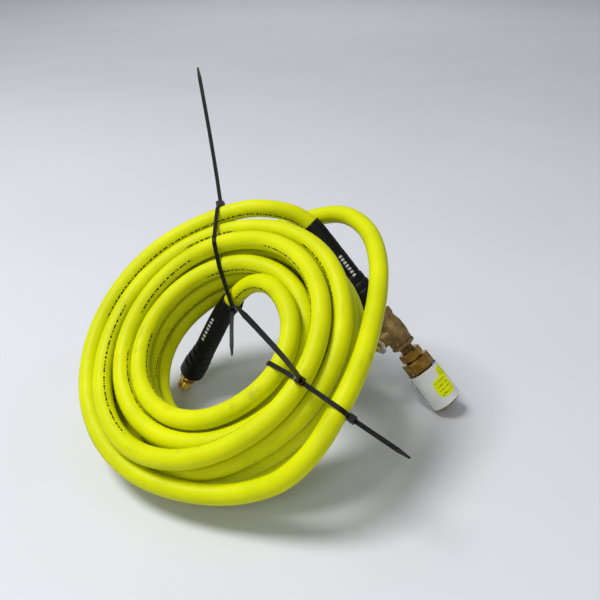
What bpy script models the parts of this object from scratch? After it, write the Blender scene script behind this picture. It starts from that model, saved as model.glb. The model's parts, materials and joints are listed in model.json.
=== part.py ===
"""Coiled air hose: a wound hose with a ball valve and a quick coupler on its outer end, held by cable ties.

Metres, +Z up. The part stands on z = 0, on the coil's low edge, the inner fitting's tip and the coupler's
sleeve.
"""
import math

import bmesh
import bpy
import numpy as np
from mathutils import Matrix, Vector

# Fits
GAP = 0.0003            # between faces that touch
RUN = 0.0004            # radial clearance of a sleeve over a round piece
FACETS = 24             # sides of a turned piece

# Hose
HOSE_OD = 0.016
HOSE_R = HOSE_OD / 2

# Coil: three wound layers, from the inside out, with the loose outer turn as a fourth
COIL_TILT = math.radians(36.0)      # coil axis from the vertical
COIL_HEADING = math.radians(41.0)   # coil axis towards the front left
COIL_INNER_R = 0.0740               # middle of the hose in the innermost layer
TURN_GAP = 0.0008                   # clear between turns that lie side by side
COIL_TURNS = 10.5
COIL_START_DEG = 23.5
COIL_LEAD = 0.0139                  # the first turn starts this far inside its layer
LEAD_TURNS = 0.1
POINTS_A_TURN = 24
CLIMB_TURNS = 0.5
COIL_LAYERS = 3
COIL_PITCH = HOSE_OD + TURN_GAP     # from turn to turn, along and across the coil
COIL_OUTER_R = COIL_INNER_R + (COIL_LAYERS - 1) * COIL_PITCH
REST_FLAT = HOSE_OD / 10

# Hose ends: where each one lies from the coil's centre, and what is on it
INNER_TIP_XY = (-0.0540, 0.0643)
INNER_DIRECTION = (-0.441, 0.193, -0.863)
OUTER_TIP_XY = (0.1966, 0.0300)
OUTER_DIRECTION = (0.613, -0.317, -0.724)
VALVE_SIDE = (-0.706, -0.630, -0.322)
TUBE_STEP = 1.5 * HOSE_OD
BENT_STEP = 0.0090              # finer, for the end that bends inside its restrictor
INNER_STRAIGHT = 0.0328         # hose straight behind its end face
OUTER_STRAIGHT = 0.0870
END_PULL = 1.2                  # how far a free stretch holds its end directions

# Crimped ends, along the end's own axis from the hose's end face
RESTRICTOR_BACK = 0.085
RESTRICTOR_FRONT = 0.0035
RESTRICTOR_TAIL_R = HOSE_R + 0.0015
RESTRICTOR_BODY_R = HOSE_R + 0.0022
RESTRICTOR_MOUTH_R = HOSE_R + 0.0031
RESTRICTOR_RIBS = 3
RIB_PITCH = 0.0075
FERRULE_WALL = 0.0010
FERRULE_BACK = 0.022
FERRULE_LIP = 0.0012
STEM_FLANGE = 0.0015
STEM_NECK_R = 0.0050
STEM_NECK = 0.0030
STEM_HEX_AF = 0.0143
STEM_HEX = 0.0060
STEM_BORE_R = 0.0030
THREAD_R = 0.0066               # quarter inch pipe thread
THREAD_TAPER = 0.0004
THREAD_LENGTH = 0.0125
WIDE_THREAD_R = 0.0084          # three eighths pipe thread
WIDE_THREAD_LENGTH = 0.0115

# Ball valve
VALVE_BODY = 0.035
VALVE_BODY_R = 0.0120
VALVE_COLLAR_R = 0.0110
VALVE_WAIST_R = 0.0100
WATERWAY_R = 0.0042
BALL_R = 0.0076
SEAT_INNER_R = 0.0047
SEAT_NEAR = 0.0056              # seat's near and far face from the ball's centre
SEAT_FAR = 0.0082
CAVITY_R = 0.0083
END_PLUG_R = 0.0090
END_PLUG = 0.0040
END_HEX_AF = 0.0200
END_HEX = 0.0040
TAIL_STEP = 0.0010              # root of the end piece over its thread
NECK_SHOWING = 0.0055           # thread left showing before the bushing
STEM_R = 0.0029
STEM_COLLAR_R = 0.0044
STEM_COLLAR = 0.0014
TANG_THICK = 0.0024
TANG_WIDE = 0.0060
TANG_DEEP = 0.0020
BOSS_R = 0.0064
BOSS_TOP = 0.0175
PACKING_R = 0.0046
PACKING = 0.0020
GLAND_HEX_AF = 0.0110
GLAND_HEX = 0.0024
LEVER_THICK = 0.0016
LEVER_WIDE = 0.0120
LEVER_LONG = 0.046
LEVER_EYE_R = 0.0090
LEVER_SKIRT = 0.0050
LEVER_WINDOW = (0.0060, 0.0140)
LEVER_NUT_AF = 0.0080
LEVER_NUT = 0.0030

# Bushing and quick coupler
BUSHING_HEX_AF = 0.0190
BUSHING_HEX = 0.0085
BUSHING_BORE_R = 0.0045
COUPLER_HEX_AF = 0.0240
COUPLER_HEX = 0.0110
BARREL_R = 0.0096
BARREL = 0.0370
CHAMBER_R = 0.0066
CHAMBER = 0.0130
LIP_R = 0.0042
LIP = 0.0015
PLUG_BORE_R = 0.0062
POPPET_R = 0.0062
POPPET_DISC = 0.0032
POPPET_NOSE_R = 0.0038
POPPET_NOSE = 0.0063
SPRING_WIRE_R = 0.0006
SLEEVE_CURLS = 5
POPPET_CURLS = 4
CURL_POINTS = 12
SLEEVE_R = 0.0142
SLEEVE = 0.0340
SLEEVE_TRAVEL = 0.0050
SLEEVE_ROOM = SLEEVE_R - BARREL_R       # for the spring and the sleeve's wall
STOP_RING_ROOM = 0.0018
SLEEVE_POCKET_R = BARREL_R + 0.61 * SLEEVE_ROOM
SLEEVE_POCKET = 0.0130
SLEEVE_LAND_R = BARREL_R + RUN
SLEEVE_LAND = 0.0090
SLEEVE_MOUTH_R = BARREL_R + STOP_RING_ROOM
STOP_RING_R = SLEEVE_MOUTH_R - GAP
STOP_RING = 0.0012
LOCK_BALL_R = 0.0020
LOCK_BALLS = 4
LABEL_THICK = 0.0005
LABEL = 0.0370
LABEL_FLAP = 0.0070
LABEL_END = 0.0010
LABEL_FLAP_DEG = 55.0

# Cable ties
TIE_WIDE = 0.0036
TIE_THICK = 0.0011
TIE_CLEAR = 0.0004
TIE_BEND_R = 0.0014
HEAD_LONG = 0.0064
HEAD_WIDE = 0.0060
HEAD_HIGH = 0.0044
TIE_SLOT_BACK = 0.0020
TIE_SLOT_FRONT = 0.0003
TIE_FOOT = 0.0006
TOP_TIE_DEG = 127.0
SIDE_TIE_DEG = -4.0
# Heads and tail tips: pitches out from the coil's outermost layer, and pitches along its axis
TOP_TIE_HEADS = ((2.226, 1.607), (-4.321, -0.238))
TOP_TIE_TIPS = ((9.607, 4.762), (-6.762, -0.357))
SIDE_TIE_HEADS = ((-0.155, 2.262), (2.405, 0.536))
SIDE_TIE_TIPS = ((0.321, 8.929), (4.726, -0.238))

# Looks: base colour, roughness, metallic
LIME = ((0.62, 0.66, 0.01), 0.45, 0.0)
RUBBER = ((0.012, 0.012, 0.013), 0.55, 0.0)
NYLON = ((0.010, 0.010, 0.011), 0.35, 0.0)
BRASS = ((0.55, 0.36, 0.13), 0.28, 1.0)
CAST_BRASS = ((0.33, 0.20, 0.10), 0.55, 0.9)
STEEL = ((0.62, 0.61, 0.58), 0.30, 1.0)
CHROME = ((0.75, 0.75, 0.76), 0.10, 1.0)
POLYMER = ((0.85, 0.85, 0.82), 0.50, 0.0)
PAPER = ((0.84, 0.84, 0.85), 0.60, 0.0)


def circum(across_flats):
    """Corner radius of a hexagon from its size across flats."""
    return across_flats / 2 / math.cos(math.pi / 6)


# Scene set-up

for old in list(bpy.data.objects):
    bpy.data.objects.remove(old)

parts = bpy.data.collections.new("coiled_air_hose")
cutters = bpy.data.collections.new("cutters")
for collection in (parts, cutters):
    bpy.context.scene.collection.children.link(collection)


def material(name, look):
    colour, roughness, metallic = look
    made = bpy.data.materials.new(name)
    made.use_nodes = True
    shader = made.node_tree.nodes["Principled BSDF"]
    shader.inputs["Base Color"].default_value = (*colour, 1.0)
    shader.inputs["Roughness"].default_value = roughness
    shader.inputs["Metallic"].default_value = metallic
    return made


LOOKS = {
    "lime": material("hose_lime", LIME),
    "rubber": material("black_rubber", RUBBER),
    "nylon": material("black_nylon", NYLON),
    "brass": material("brass", BRASS),
    "cast": material("cast_brass", CAST_BRASS),
    "steel": material("plated_steel", STEEL),
    "chrome": material("chrome", CHROME),
    "polymer": material("seat_polymer", POLYMER),
    "paper": material("white_paper", PAPER),
}


def place(name, data, look, parent, matrix=None):
    """Link a new part to the collection under its parent empty."""
    part = bpy.data.objects.new(name, data)
    parts.objects.link(part)
    part.parent = parent
    if matrix is not None:
        part.matrix_local = matrix
    data.materials.append(LOOKS[look])
    return part


def empty(name, parent=None, matrix=None):
    frame = bpy.data.objects.new(name, None)
    parts.objects.link(frame)
    frame.parent = parent
    if matrix is not None:
        frame.matrix_local = matrix
    return frame


def frame_matrix(origin, x_axis, y_axis, z_axis):
    turn = Matrix((x_axis, y_axis, z_axis)).transposed().to_4x4()
    return Matrix.Translation(origin) @ turn


# Modelling helpers

def turned(name, profile, look, parent, matrix=None, closed=True):
    """A profile of (radius, height) points turned about the local Z axis, outer side down from the top."""
    mesh = bpy.data.meshes.new(name)
    points = [(radius, 0.0, height) for radius, height in profile]
    edges = [(i, i + 1) for i in range(len(points) - 1)]
    if closed:
        edges.append((len(points) - 1, 0))
    mesh.from_pydata(points, edges, [])
    part = place(name, mesh, look, parent, matrix)
    screw = part.modifiers.new("turn", "SCREW")
    screw.steps = FACETS
    screw.render_steps = FACETS
    screw.use_merge_vertices = True
    screw.merge_threshold = 0.00001
    screw.use_smooth_shade = True
    return part


def tidy_cutter(part):
    parts.objects.unlink(part)
    cutters.objects.link(part)
    part.hide_render = True
    part.display_type = "WIRE"
    return part


def boolean(part, tool, operation):
    step = part.modifiers.new(operation.lower(), "BOOLEAN")
    step.operation = operation
    step.object = tool
    return part


def bar(name, radius, bottom, top, look, parent, matrix=None, sides=FACETS):
    """A solid round or six-sided bar along the local Z axis."""
    form = bmesh.new()
    bmesh.ops.create_cone(
        form, cap_ends=True, segments=sides, radius1=radius, radius2=radius, depth=top - bottom,
        matrix=Matrix.Translation((0, 0, (top + bottom) / 2)))
    mesh = bpy.data.meshes.new(name)
    form.to_mesh(mesh)
    form.free()
    return place(name, mesh, look, parent, matrix)


def box(name, low, high, look, parent, matrix=None):
    size = [b - a for a, b in zip(low, high)]
    middle = [(a + b) / 2 for a, b in zip(low, high)]
    form = bmesh.new()
    bmesh.ops.create_cube(form, size=1.0, matrix=Matrix.Translation(middle) @ Matrix.Diagonal((*size, 1.0)))
    mesh = bpy.data.meshes.new(name)
    form.to_mesh(mesh)
    form.free()
    return place(name, mesh, look, parent, matrix)


def hex_ring(name, across_flats, bore_r, bottom, top, look, parent):
    """A hexagon with a round bore, along the local Z axis."""
    part = bar(name, circum(across_flats), bottom, top, look, parent, sides=6)
    drill = tidy_cutter(bar(name + "_drill", bore_r, bottom - GAP, top + GAP, look, parent))
    return boolean(part, drill, "DIFFERENCE")


def tube(name, points, radius, look, parent, sides_step):
    curve = bpy.data.curves.new(name, "CURVE")
    curve.dimensions = "3D"
    curve.bevel_depth = radius
    curve.bevel_resolution = sides_step
    curve.use_fill_caps = True
    spline = curve.splines.new("POLY")
    spline.points.add(len(points) - 1)
    for slot, point in zip(spline.points, points):
        slot.co = (*point, 1.0)
    return place(name, curve, look, parent)


def as_mesh(part):
    """Swap a curve part for the mesh that it makes, with its caps welded on."""
    graph = bpy.context.evaluated_depsgraph_get()
    mesh = bpy.data.meshes.new_from_object(part.evaluated_get(graph))
    form = bmesh.new()
    form.from_mesh(mesh)
    bmesh.ops.remove_doubles(form, verts=form.verts, dist=0.000005)
    bmesh.ops.recalc_face_normals(form, faces=form.faces)
    form.to_mesh(mesh)
    form.free()
    name = part.name
    parent = part.parent
    local = part.matrix_local.copy()
    bpy.data.objects.remove(part)
    mesh.name = name
    made = bpy.data.objects.new(name, mesh)
    parts.objects.link(made)
    made.parent = parent
    made.matrix_local = local
    return made


def strip(name, path, thick, wide, look, parent, matrix):
    """A flat band: its edge follows a plane path, and its width stands square to that plane."""
    line = [Vector(point) for point in path]
    left = []
    right = []
    for i, point in enumerate(line):
        along = (line[min(i + 1, len(line) - 1)] - line[max(i - 1, 0)]).normalized()
        side = Vector((-along.y, along.x)) * (thick / 2)
        left.append(point + side)
        right.append(point - side)
    return outline(name, left + right[::-1], wide, look, parent, matrix)


def outline(name, points, wide, look, parent, matrix):
    curve = bpy.data.curves.new(name, "CURVE")
    curve.dimensions = "2D"
    curve.fill_mode = "BOTH"
    curve.extrude = wide / 2
    spline = curve.splines.new("POLY")
    spline.points.add(len(points) - 1)
    for slot, point in zip(spline.points, points):
        slot.co = (point[0], point[1], 0.0, 1.0)
    spline.use_cyclic_u = True
    return as_mesh(place(name, curve, look, parent, matrix))


def smooth_route(points, start_way, end_way, step):
    """Points a step apart on a smooth curve through the given ones, with the given end directions."""
    knots = np.array([tuple(p) for p in points], float)
    spans = np.linalg.norm(np.diff(knots, axis=0), axis=1)
    slopes = np.diff(knots, axis=0) / spans[:, None]
    ways = [END_PULL * np.array(start_way)]
    for i in range(1, len(knots) - 1):
        ways.append((slopes[i - 1] * spans[i] + slopes[i] * spans[i - 1]) / (spans[i - 1] + spans[i]))
    ways.append(END_PULL * np.array(end_way))
    fine = []
    for i, span in enumerate(spans):
        for t in np.linspace(0.0, 1.0, 24, endpoint=False):
            fine.append((1 + 2 * t) * (1 - t) ** 2 * knots[i] + t * (1 - t) ** 2 * span * ways[i]
                        + t ** 2 * (3 - 2 * t) * knots[i + 1] + t ** 2 * (t - 1) * span * ways[i + 1])
    fine = np.array(fine + [knots[-1]])
    run = np.concatenate([[0.0], np.cumsum(np.linalg.norm(np.diff(fine, axis=0), axis=1))])
    at = np.linspace(0.0, run[-1], max(2, round(run[-1] / step) + 1))
    return [Vector([np.interp(s, run, fine[:, k]) for k in range(3)]) for s in at]


# Coil frame: its axis, its uphill direction and the level direction across

coil_axis = Vector((-math.sin(COIL_TILT) * math.sin(COIL_HEADING),
                    -math.sin(COIL_TILT) * math.cos(COIL_HEADING),
                    math.cos(COIL_TILT)))
uphill = (Vector((0, 0, 1)) - coil_axis.z * coil_axis).normalized()
across = uphill.cross(coil_axis)


def round_coil(degrees, radius, along):
    """A point by its angle round the coil, its distance from the axis and its place along the axis."""
    angle = math.radians(degrees)
    return radius * (math.cos(angle) * across + math.sin(angle) * uphill) + along * coil_axis


def section_place(turns):
    """Radius and place along the axis after so many turns: front to back and back again, layer by layer."""
    sweep = (COIL_TURNS - (COIL_LAYERS - 1) * CLIMB_TURNS) / COIL_LAYERS
    half = sweep * COIL_PITCH / 2
    layer = min(int(turns / (sweep + CLIMB_TURNS)), COIL_LAYERS - 1)
    into = turns - layer * (sweep + CLIMB_TURNS)
    way = -1 if layer % 2 == 0 else 1
    radius = COIL_INNER_R + layer * COIL_PITCH - COIL_LEAD * max(0.0, 1 - turns / LEAD_TURNS) ** 2
    if into <= sweep:
        return radius, way * (into * COIL_PITCH - half)
    climb = (into - sweep) / CLIMB_TURNS
    radius += COIL_PITCH * climb ** 2 * (3 - 2 * climb)
    return radius, way * (half + COIL_PITCH * CLIMB_TURNS * climb * (1 - climb))


def coil_route():
    count = round(COIL_TURNS * POINTS_A_TURN)
    route = []
    for i in range(count + 1):
        turns = i / POINTS_A_TURN
        radius, along = section_place(turns)
        route.append(round_coil(COIL_START_DEG - 360 * turns, radius, along))
    return route


wound = coil_route()
COIL_CENTRE = Vector((0, 0, HOSE_R - REST_FLAT - min(point.z for point in wound)))
wound = [COIL_CENTRE + point for point in wound]
coil_in = (wound[0] - wound[1]).normalized()
coil_out = (wound[-1] - wound[-2]).normalized()
coil_points = [wound[0] + HOSE_OD * coil_in] + wound + [wound[-1] + HOSE_OD * coil_out]


def least_gap(points, apart):
    """Least clear distance of the coil's hose to itself, between points at least so many steps apart."""
    spots = np.array([tuple(p) for p in points])
    least = math.inf
    for i in range(len(spots) - apart):
        least = min(least, np.linalg.norm(spots[i + apart:] - spots[i], axis=1).min())
    return least - HOSE_OD


print("coil: least gap to itself %.2f mm" % (1000 * least_gap(wound, POINTS_A_TURN // 2)))

assembly = empty("assembly")

# Hose ends: each has a frame with +Z out along the end, and its origin at the hose's end face


def end_frame(tip_xy, direction, side, length, tip_r):
    """The frame of a hose end whose far rim touches the ground."""
    z_axis = Vector(direction).normalized()
    x_axis = (Vector(side) - Vector(side).dot(z_axis) * z_axis).normalized()
    y_axis = z_axis.cross(x_axis)
    tip = Vector((tip_xy[0], tip_xy[1], tip_r * math.sqrt(1 - z_axis.z ** 2)))
    return frame_matrix(tip - length * z_axis, x_axis, y_axis, z_axis)


stem_hex_at = STEM_FLANGE + STEM_NECK
thread_at = stem_hex_at + STEM_HEX
thread_end = thread_at + THREAD_LENGTH
valve_at = thread_at + 0.0005
ball_at = thread_end + 0.0020 + SEAT_FAR + GAP
end_plug_at = ball_at + SEAT_FAR + GAP
valve_end = valve_at + VALVE_BODY
end_hex_at = valve_end + GAP
tail_at = end_hex_at + END_HEX
tail_end = tail_at + THREAD_LENGTH
bushing_at = tail_at + NECK_SHOWING
bushing_thread_at = bushing_at + BUSHING_HEX
coupler_at = bushing_thread_at + 0.0008
coupler_hex_end = coupler_at + COUPLER_HEX
chamber_at = bushing_thread_at + WIDE_THREAD_LENGTH + GAP
barrel_end = coupler_hex_end + BARREL
sleeve_at = coupler_hex_end + SLEEVE_TRAVEL + 2 * GAP
sleeve_end = sleeve_at + SLEEVE

INNER_FRAME = end_frame(INNER_TIP_XY, INNER_DIRECTION, (0, 1, 0), thread_end, THREAD_R - THREAD_TAPER)
OUTER_FRAME = end_frame(OUTER_TIP_XY, OUTER_DIRECTION, VALVE_SIDE, sleeve_end, SLEEVE_R)
inner_end = empty("inner_end", assembly, INNER_FRAME)
outer_end = empty("outer_end", assembly, OUTER_FRAME)

# Hose: the wound coil, cut flat where it rests, and its two free stretches

coil = as_mesh(tube("hose_coil", coil_points, HOSE_R, "lime", assembly, 1))
form = bmesh.new()
form.from_mesh(coil.data)
bmesh.ops.bisect_plane(form, geom=form.verts[:] + form.edges[:] + form.faces[:], dist=0.000001,
                       plane_co=(0, 0, 0), plane_no=(0, 0, 1), clear_inner=True)
bmesh.ops.holes_fill(form, edges=[e for e in form.edges if e.is_boundary], sides=0)
bmesh.ops.recalc_face_normals(form, faces=form.faces)
form.to_mesh(coil.data)
form.free()



def coil_spots(rows, layer_r):
    """Points by their angle round the coil, pitches out from a layer and pitches along the axis."""
    return [COIL_CENTRE + round_coil(degrees, layer_r + out * COIL_PITCH, along * COIL_PITCH)
            for degrees, out, along in rows]


inner_z = INNER_FRAME.to_3x3() @ Vector((0, 0, 1))
inner_face = INNER_FRAME @ Vector((0, 0, -GAP))
inner_bend = INNER_FRAME @ Vector((0, 0, -INNER_STRAIGHT))
join_in = wound[0] + (HOSE_OD + GAP) * coil_in
join_in_bend = join_in + HOSE_OD * coil_in
# The way up into the coil: angle round it, pitches out from its innermost layer, pitches along
INNER_RISE = [
    (135.1, -1.145, -0.848),
    (66.6, -0.974, 1.533),
]
inner_spots = [inner_bend] + coil_spots(INNER_RISE, COIL_INNER_R) + [join_in_bend]
inner_tail_points = [inner_face] + smooth_route(inner_spots, -inner_z, -coil_in, BENT_STEP) + [join_in]
tube("hose_inner_tail", inner_tail_points, HOSE_R, "lime", assembly, 2)

outer_z = OUTER_FRAME.to_3x3() @ Vector((0, 0, 1))
outer_face = OUTER_FRAME @ Vector((0, 0, -GAP))
outer_bend = OUTER_FRAME @ Vector((0, 0, -OUTER_STRAIGHT))
join_out = wound[-1] + (HOSE_OD + GAP) * coil_out
join_out_bend = join_out + HOSE_OD * coil_out
# The loose turn round the coil: angle round it, pitches out from its outermost layer, pitches along
LOOSE_TURN = [
    (165.0, 0.619, -1.607),
    (148.0, 0.917, -1.637),
    (130.0, 1.333, -1.637),
    (114.0, 1.899, -1.577),
    (101.0, 2.524, -1.458),
    (86.0, 3.119, -1.012),
    (72.0, 2.851, -0.667),
    (58.8, 2.202, -0.381),
    (45.0, 1.560, -0.095),
    (31.4, 1.155, 0.190),
    (11.8, 1.125, 0.667),
    (-4.2, 1.345, 0.893),
    (-19.6, 1.690, 0.762),
    (-32.0, 1.690, 0.417),
    (-45.0, 1.393, 0.238),
    (-69.0, 1.071, 0.595),
    (-87.0, 1.036, 0.893),
    (-107.0, 1.036, 1.071),
    (-130.0, 1.036, 1.250),
    (-155.0, 1.036, 1.369),
    (-180.0, 1.036, 1.429),
    (-205.0, 1.036, 1.429),
    (-224.0, 1.071, 1.310),
    (-249.0, 1.542, 0.863),
]
outer_spots = [join_out_bend] + coil_spots(LOOSE_TURN, COIL_OUTER_R) + [outer_bend]
outer_tail_points = [join_out] + smooth_route(outer_spots, coil_out, outer_z, TUBE_STEP) + [outer_face]
tube("hose_outer_tail", outer_tail_points, HOSE_R, "lime", assembly, 2)


# Crimped ends

def on_route(route, run, at):
    """Place and direction at a distance along a route, square to the bend at one of its corners."""
    i = min(max(int(np.searchsorted(run, at, side="right")) - 1, 0), len(route) - 2)
    way = (route[i + 1] - route[i]).normalized()
    spot = route[i] + (at - run[i]) * way
    if i > 0 and abs(at - run[i]) < 0.000001:
        way = (way + (route[i] - route[i - 1]).normalized()).normalized()
    return spot, way


def restrictor(name, route):
    """Rubber sleeve from the crimped end back along the hose's route, with stepped ribs near its mouth."""
    run = [0.0]
    for a, b in zip(route, route[1:]):
        run.append(run[-1] + (b - a).length)
    ferrule_room = HOSE_R + RUN + FERRULE_WALL + RUN
    hose_room = HOSE_R + RUN
    ribs_end = RESTRICTOR_RIBS * 2 * RIB_PITCH - RESTRICTOR_FRONT
    corners = [at for at in run if FERRULE_BACK + GAP < at < RESTRICTOR_BACK]
    drop = (RESTRICTOR_MOUTH_R - RESTRICTOR_BODY_R) / RESTRICTOR_RIBS
    rings = [(ferrule_room, -RESTRICTOR_FRONT), (RESTRICTOR_MOUTH_R, -RESTRICTOR_FRONT)]
    for i in range(RESTRICTOR_RIBS):
        rib = i * 2 * RIB_PITCH - RESTRICTOR_FRONT
        outer = RESTRICTOR_MOUTH_R - i * drop
        rings += [(outer, rib + RIB_PITCH), (outer - drop, rib + RIB_PITCH * 1.2)]
        rings += [(outer - drop, rib + RIB_PITCH * 2)]
    for at in [c for c in corners if c > ribs_end] + [RESTRICTOR_BACK]:
        thin = (at - ribs_end) / (RESTRICTOR_BACK - ribs_end)
        rings.append((RESTRICTOR_BODY_R + thin * (RESTRICTOR_TAIL_R - RESTRICTOR_BODY_R), at))
    rings += [(hose_room, at) for at in [RESTRICTOR_BACK] + corners[::-1] + [FERRULE_BACK + GAP]]
    rings.append((ferrule_room, FERRULE_BACK + GAP))
    side = (route[1] - route[0]).orthogonal()
    form = bmesh.new()
    loops = []
    for radius, at in rings:
        spot, way = on_route(route, run, at)
        x_axis = (side - side.dot(way) * way).normalized()
        y_axis = way.cross(x_axis)
        turns = [2 * math.pi * k / FACETS for k in range(FACETS)]
        arms = [math.cos(t) * x_axis + math.sin(t) * y_axis for t in turns]
        loops.append([form.verts.new(spot + radius * arm) for arm in arms])
    for near, far in zip(loops, loops[1:] + loops[:1]):
        for k in range(FACETS):
            form.faces.new((near[k - 1], near[k], far[k], far[k - 1])).smooth = True
    bmesh.ops.recalc_face_normals(form, faces=form.faces)
    mesh = bpy.data.meshes.new(name)
    form.to_mesh(mesh)
    form.free()
    return place(name, mesh, "rubber", assembly)


def ferrule(name, parent):
    outer = HOSE_R + RUN + FERRULE_WALL
    lip_top = STEM_FLANGE + GAP + FERRULE_LIP
    lip_bottom = STEM_FLANGE + GAP
    profile = [(STEM_NECK_R + RUN, lip_top), (outer, lip_top), (outer, -FERRULE_BACK),
               (HOSE_R + RUN, -FERRULE_BACK), (HOSE_R + RUN, lip_bottom), (STEM_NECK_R + RUN, lip_bottom)]
    return turned(name, profile, "steel", parent)


def hose_fitting(name, parent):
    """Flange on the hose's end, neck, hexagon and tapered pipe thread, with a bore right through."""
    core = [(STEM_BORE_R, thread_end), (THREAD_R - THREAD_TAPER, thread_end), (THREAD_R, thread_at),
            (STEM_NECK_R, thread_at), (STEM_NECK_R, STEM_FLANGE), (HOSE_R, STEM_FLANGE), (HOSE_R, 0.0),
            (STEM_BORE_R, 0.0)]
    part = turned(name, core, "brass", parent)
    nut = tidy_cutter(hex_ring(name + "_hexagon", STEM_HEX_AF, STEM_NECK_R - GAP, stem_hex_at,
                               thread_at - GAP, "brass", parent))
    return boolean(part, nut, "UNION")


restrictor("inner_bend_restrictor", inner_tail_points)
restrictor("outer_bend_restrictor", outer_tail_points[::-1])
for end, parent in (("inner", inner_end), ("outer", outer_end)):
    ferrule(end + "_ferrule", parent)
    hose_fitting(end + "_fitting", parent)

# Ball valve: the stem's frame has +Z out along the stem, from the ball's centre

stem_turn = Matrix.Rotation(math.pi / 2, 4, "Y")
STEM_FRAME = Matrix.Translation((0, 0, ball_at)) @ stem_turn
stem_frame = empty("valve_turn", outer_end, STEM_FRAME)

body = turned("valve_body", [
    (THREAD_R + RUN, valve_at), (VALVE_COLLAR_R, valve_at), (VALVE_COLLAR_R, valve_at + 0.0065),
    (VALVE_WAIST_R, valve_at + 0.0085), (VALVE_BODY_R, ball_at - 0.0070), (VALVE_BODY_R, ball_at + 0.0070),
    (VALVE_COLLAR_R, ball_at + 0.0100), (VALVE_COLLAR_R, valve_end), (END_PLUG_R + RUN, valve_end),
    (END_PLUG_R + RUN, end_plug_at - GAP), (CAVITY_R, end_plug_at - GAP),
    (CAVITY_R, ball_at - SEAT_FAR - GAP), (WATERWAY_R, ball_at - SEAT_FAR - GAP),
    (WATERWAY_R, thread_end + GAP), (THREAD_R + RUN, thread_end + GAP),
][::-1], "cast", outer_end)
boss = tidy_cutter(bar("valve_boss", BOSS_R, CAVITY_R + 0.0012, BOSS_TOP, "cast", stem_frame))
boolean(body, boss, "UNION")
collar_room = BALL_R + 2 * GAP + STEM_COLLAR + GAP
stem_drill = tidy_cutter(bar("stem_drill", STEM_R + RUN, 0.0, BOSS_TOP + GAP, "cast", stem_frame))
collar_drill = tidy_cutter(bar("collar_drill", STEM_COLLAR_R + RUN, 0.0, collar_room, "cast", stem_frame))
packing_floor = collar_room + 0.0025
packing_drill = tidy_cutter(
    bar("packing_drill", PACKING_R + RUN, packing_floor, BOSS_TOP + GAP, "cast", stem_frame))
for drill in (stem_drill, collar_drill, packing_drill):
    boolean(body, drill, "DIFFERENCE")

end_piece = turned("valve_end_piece", [
    (WATERWAY_R, tail_end), (THREAD_R - THREAD_TAPER, tail_end), (THREAD_R, tail_at),
    (THREAD_R + TAIL_STEP, tail_at), (THREAD_R + TAIL_STEP, end_hex_at), (END_PLUG_R, end_hex_at),
    (END_PLUG_R, end_plug_at), (WATERWAY_R, end_plug_at),
], "cast", outer_end)
end_hexagon = tidy_cutter(hex_ring("valve_end_hexagon", END_HEX_AF, THREAD_R + TAIL_STEP - GAP, end_hex_at,
                                   tail_at - GAP, "cast", outer_end))
boolean(end_piece, end_hexagon, "UNION")

for side, name in ((1, "outlet"), (-1, "inlet")):
    ring = [(SEAT_INNER_R, SEAT_FAR), (CAVITY_R - RUN, SEAT_FAR), (CAVITY_R - RUN, SEAT_NEAR),
            (SEAT_INNER_R + 0.0010, SEAT_NEAR), (SEAT_INNER_R, SEAT_NEAR + 0.0010)]
    flip = Matrix.Rotation(math.pi if side < 0 else 0.0, 4, "X")
    turned("valve_seat_" + name, ring, "polymer", outer_end, Matrix.Translation((0, 0, ball_at)) @ flip)

sphere = bmesh.new()
bmesh.ops.create_uvsphere(sphere, u_segments=FACETS, v_segments=FACETS // 2, radius=BALL_R)
ball_mesh = bpy.data.meshes.new("valve_ball")
sphere.to_mesh(ball_mesh)
sphere.free()
ball = place("valve_ball", ball_mesh, "chrome", stem_frame)
port = tidy_cutter(bar("ball_port", WATERWAY_R, -BALL_R - GAP, BALL_R + GAP, "chrome", stem_frame,
                       stem_turn.inverted()))
tang_floor = BALL_R - TANG_DEEP
slot = tidy_cutter(box("ball_slot", (-BALL_R, -TANG_THICK / 2 - GAP, tang_floor - GAP),
                       (BALL_R, TANG_THICK / 2 + GAP, BALL_R + GAP), "chrome", stem_frame))
for drill in (port, slot):
    boolean(ball, drill, "DIFFERENCE")

stem_collar_at = BALL_R + 2 * GAP
gland_at = packing_floor + GAP + PACKING + GAP
gland_hex_at = BOSS_TOP + GAP
lever_at = gland_hex_at + GLAND_HEX + GAP
lever_nut_at = lever_at + LEVER_THICK + GAP
stem_top = lever_nut_at + LEVER_NUT + 0.0012
stem = turned("valve_stem", [
    (0.0, stem_top), (STEM_R, stem_top), (STEM_R, stem_collar_at + STEM_COLLAR),
    (STEM_COLLAR_R, stem_collar_at + STEM_COLLAR), (STEM_COLLAR_R, stem_collar_at), (0.0, stem_collar_at),
], "steel", stem_frame, closed=False)
tang = tidy_cutter(box("stem_tang", (-TANG_WIDE / 2, -TANG_THICK / 2, tang_floor),
                       (TANG_WIDE / 2, TANG_THICK / 2, stem_collar_at + STEM_COLLAR / 2),
                       "steel", stem_frame))
boolean(stem, tang, "UNION")

turned("stem_packing", [
    (STEM_R + RUN, packing_floor + GAP + PACKING), (PACKING_R, packing_floor + GAP + PACKING),
    (PACKING_R, packing_floor + GAP), (STEM_R + RUN, packing_floor + GAP),
], "polymer", stem_frame)
gland = turned("packing_nut", [
    (STEM_R + RUN, gland_hex_at + GLAND_HEX), (PACKING_R, gland_hex_at + GLAND_HEX), (PACKING_R, gland_at),
    (STEM_R + RUN, gland_at),
], "brass", stem_frame)
gland_hexagon = tidy_cutter(hex_ring("packing_nut_hexagon", GLAND_HEX_AF, PACKING_R - GAP, gland_hex_at,
                                     gland_hex_at + GLAND_HEX - GAP, "brass", stem_frame))
boolean(gland, gland_hexagon, "UNION")


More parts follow.
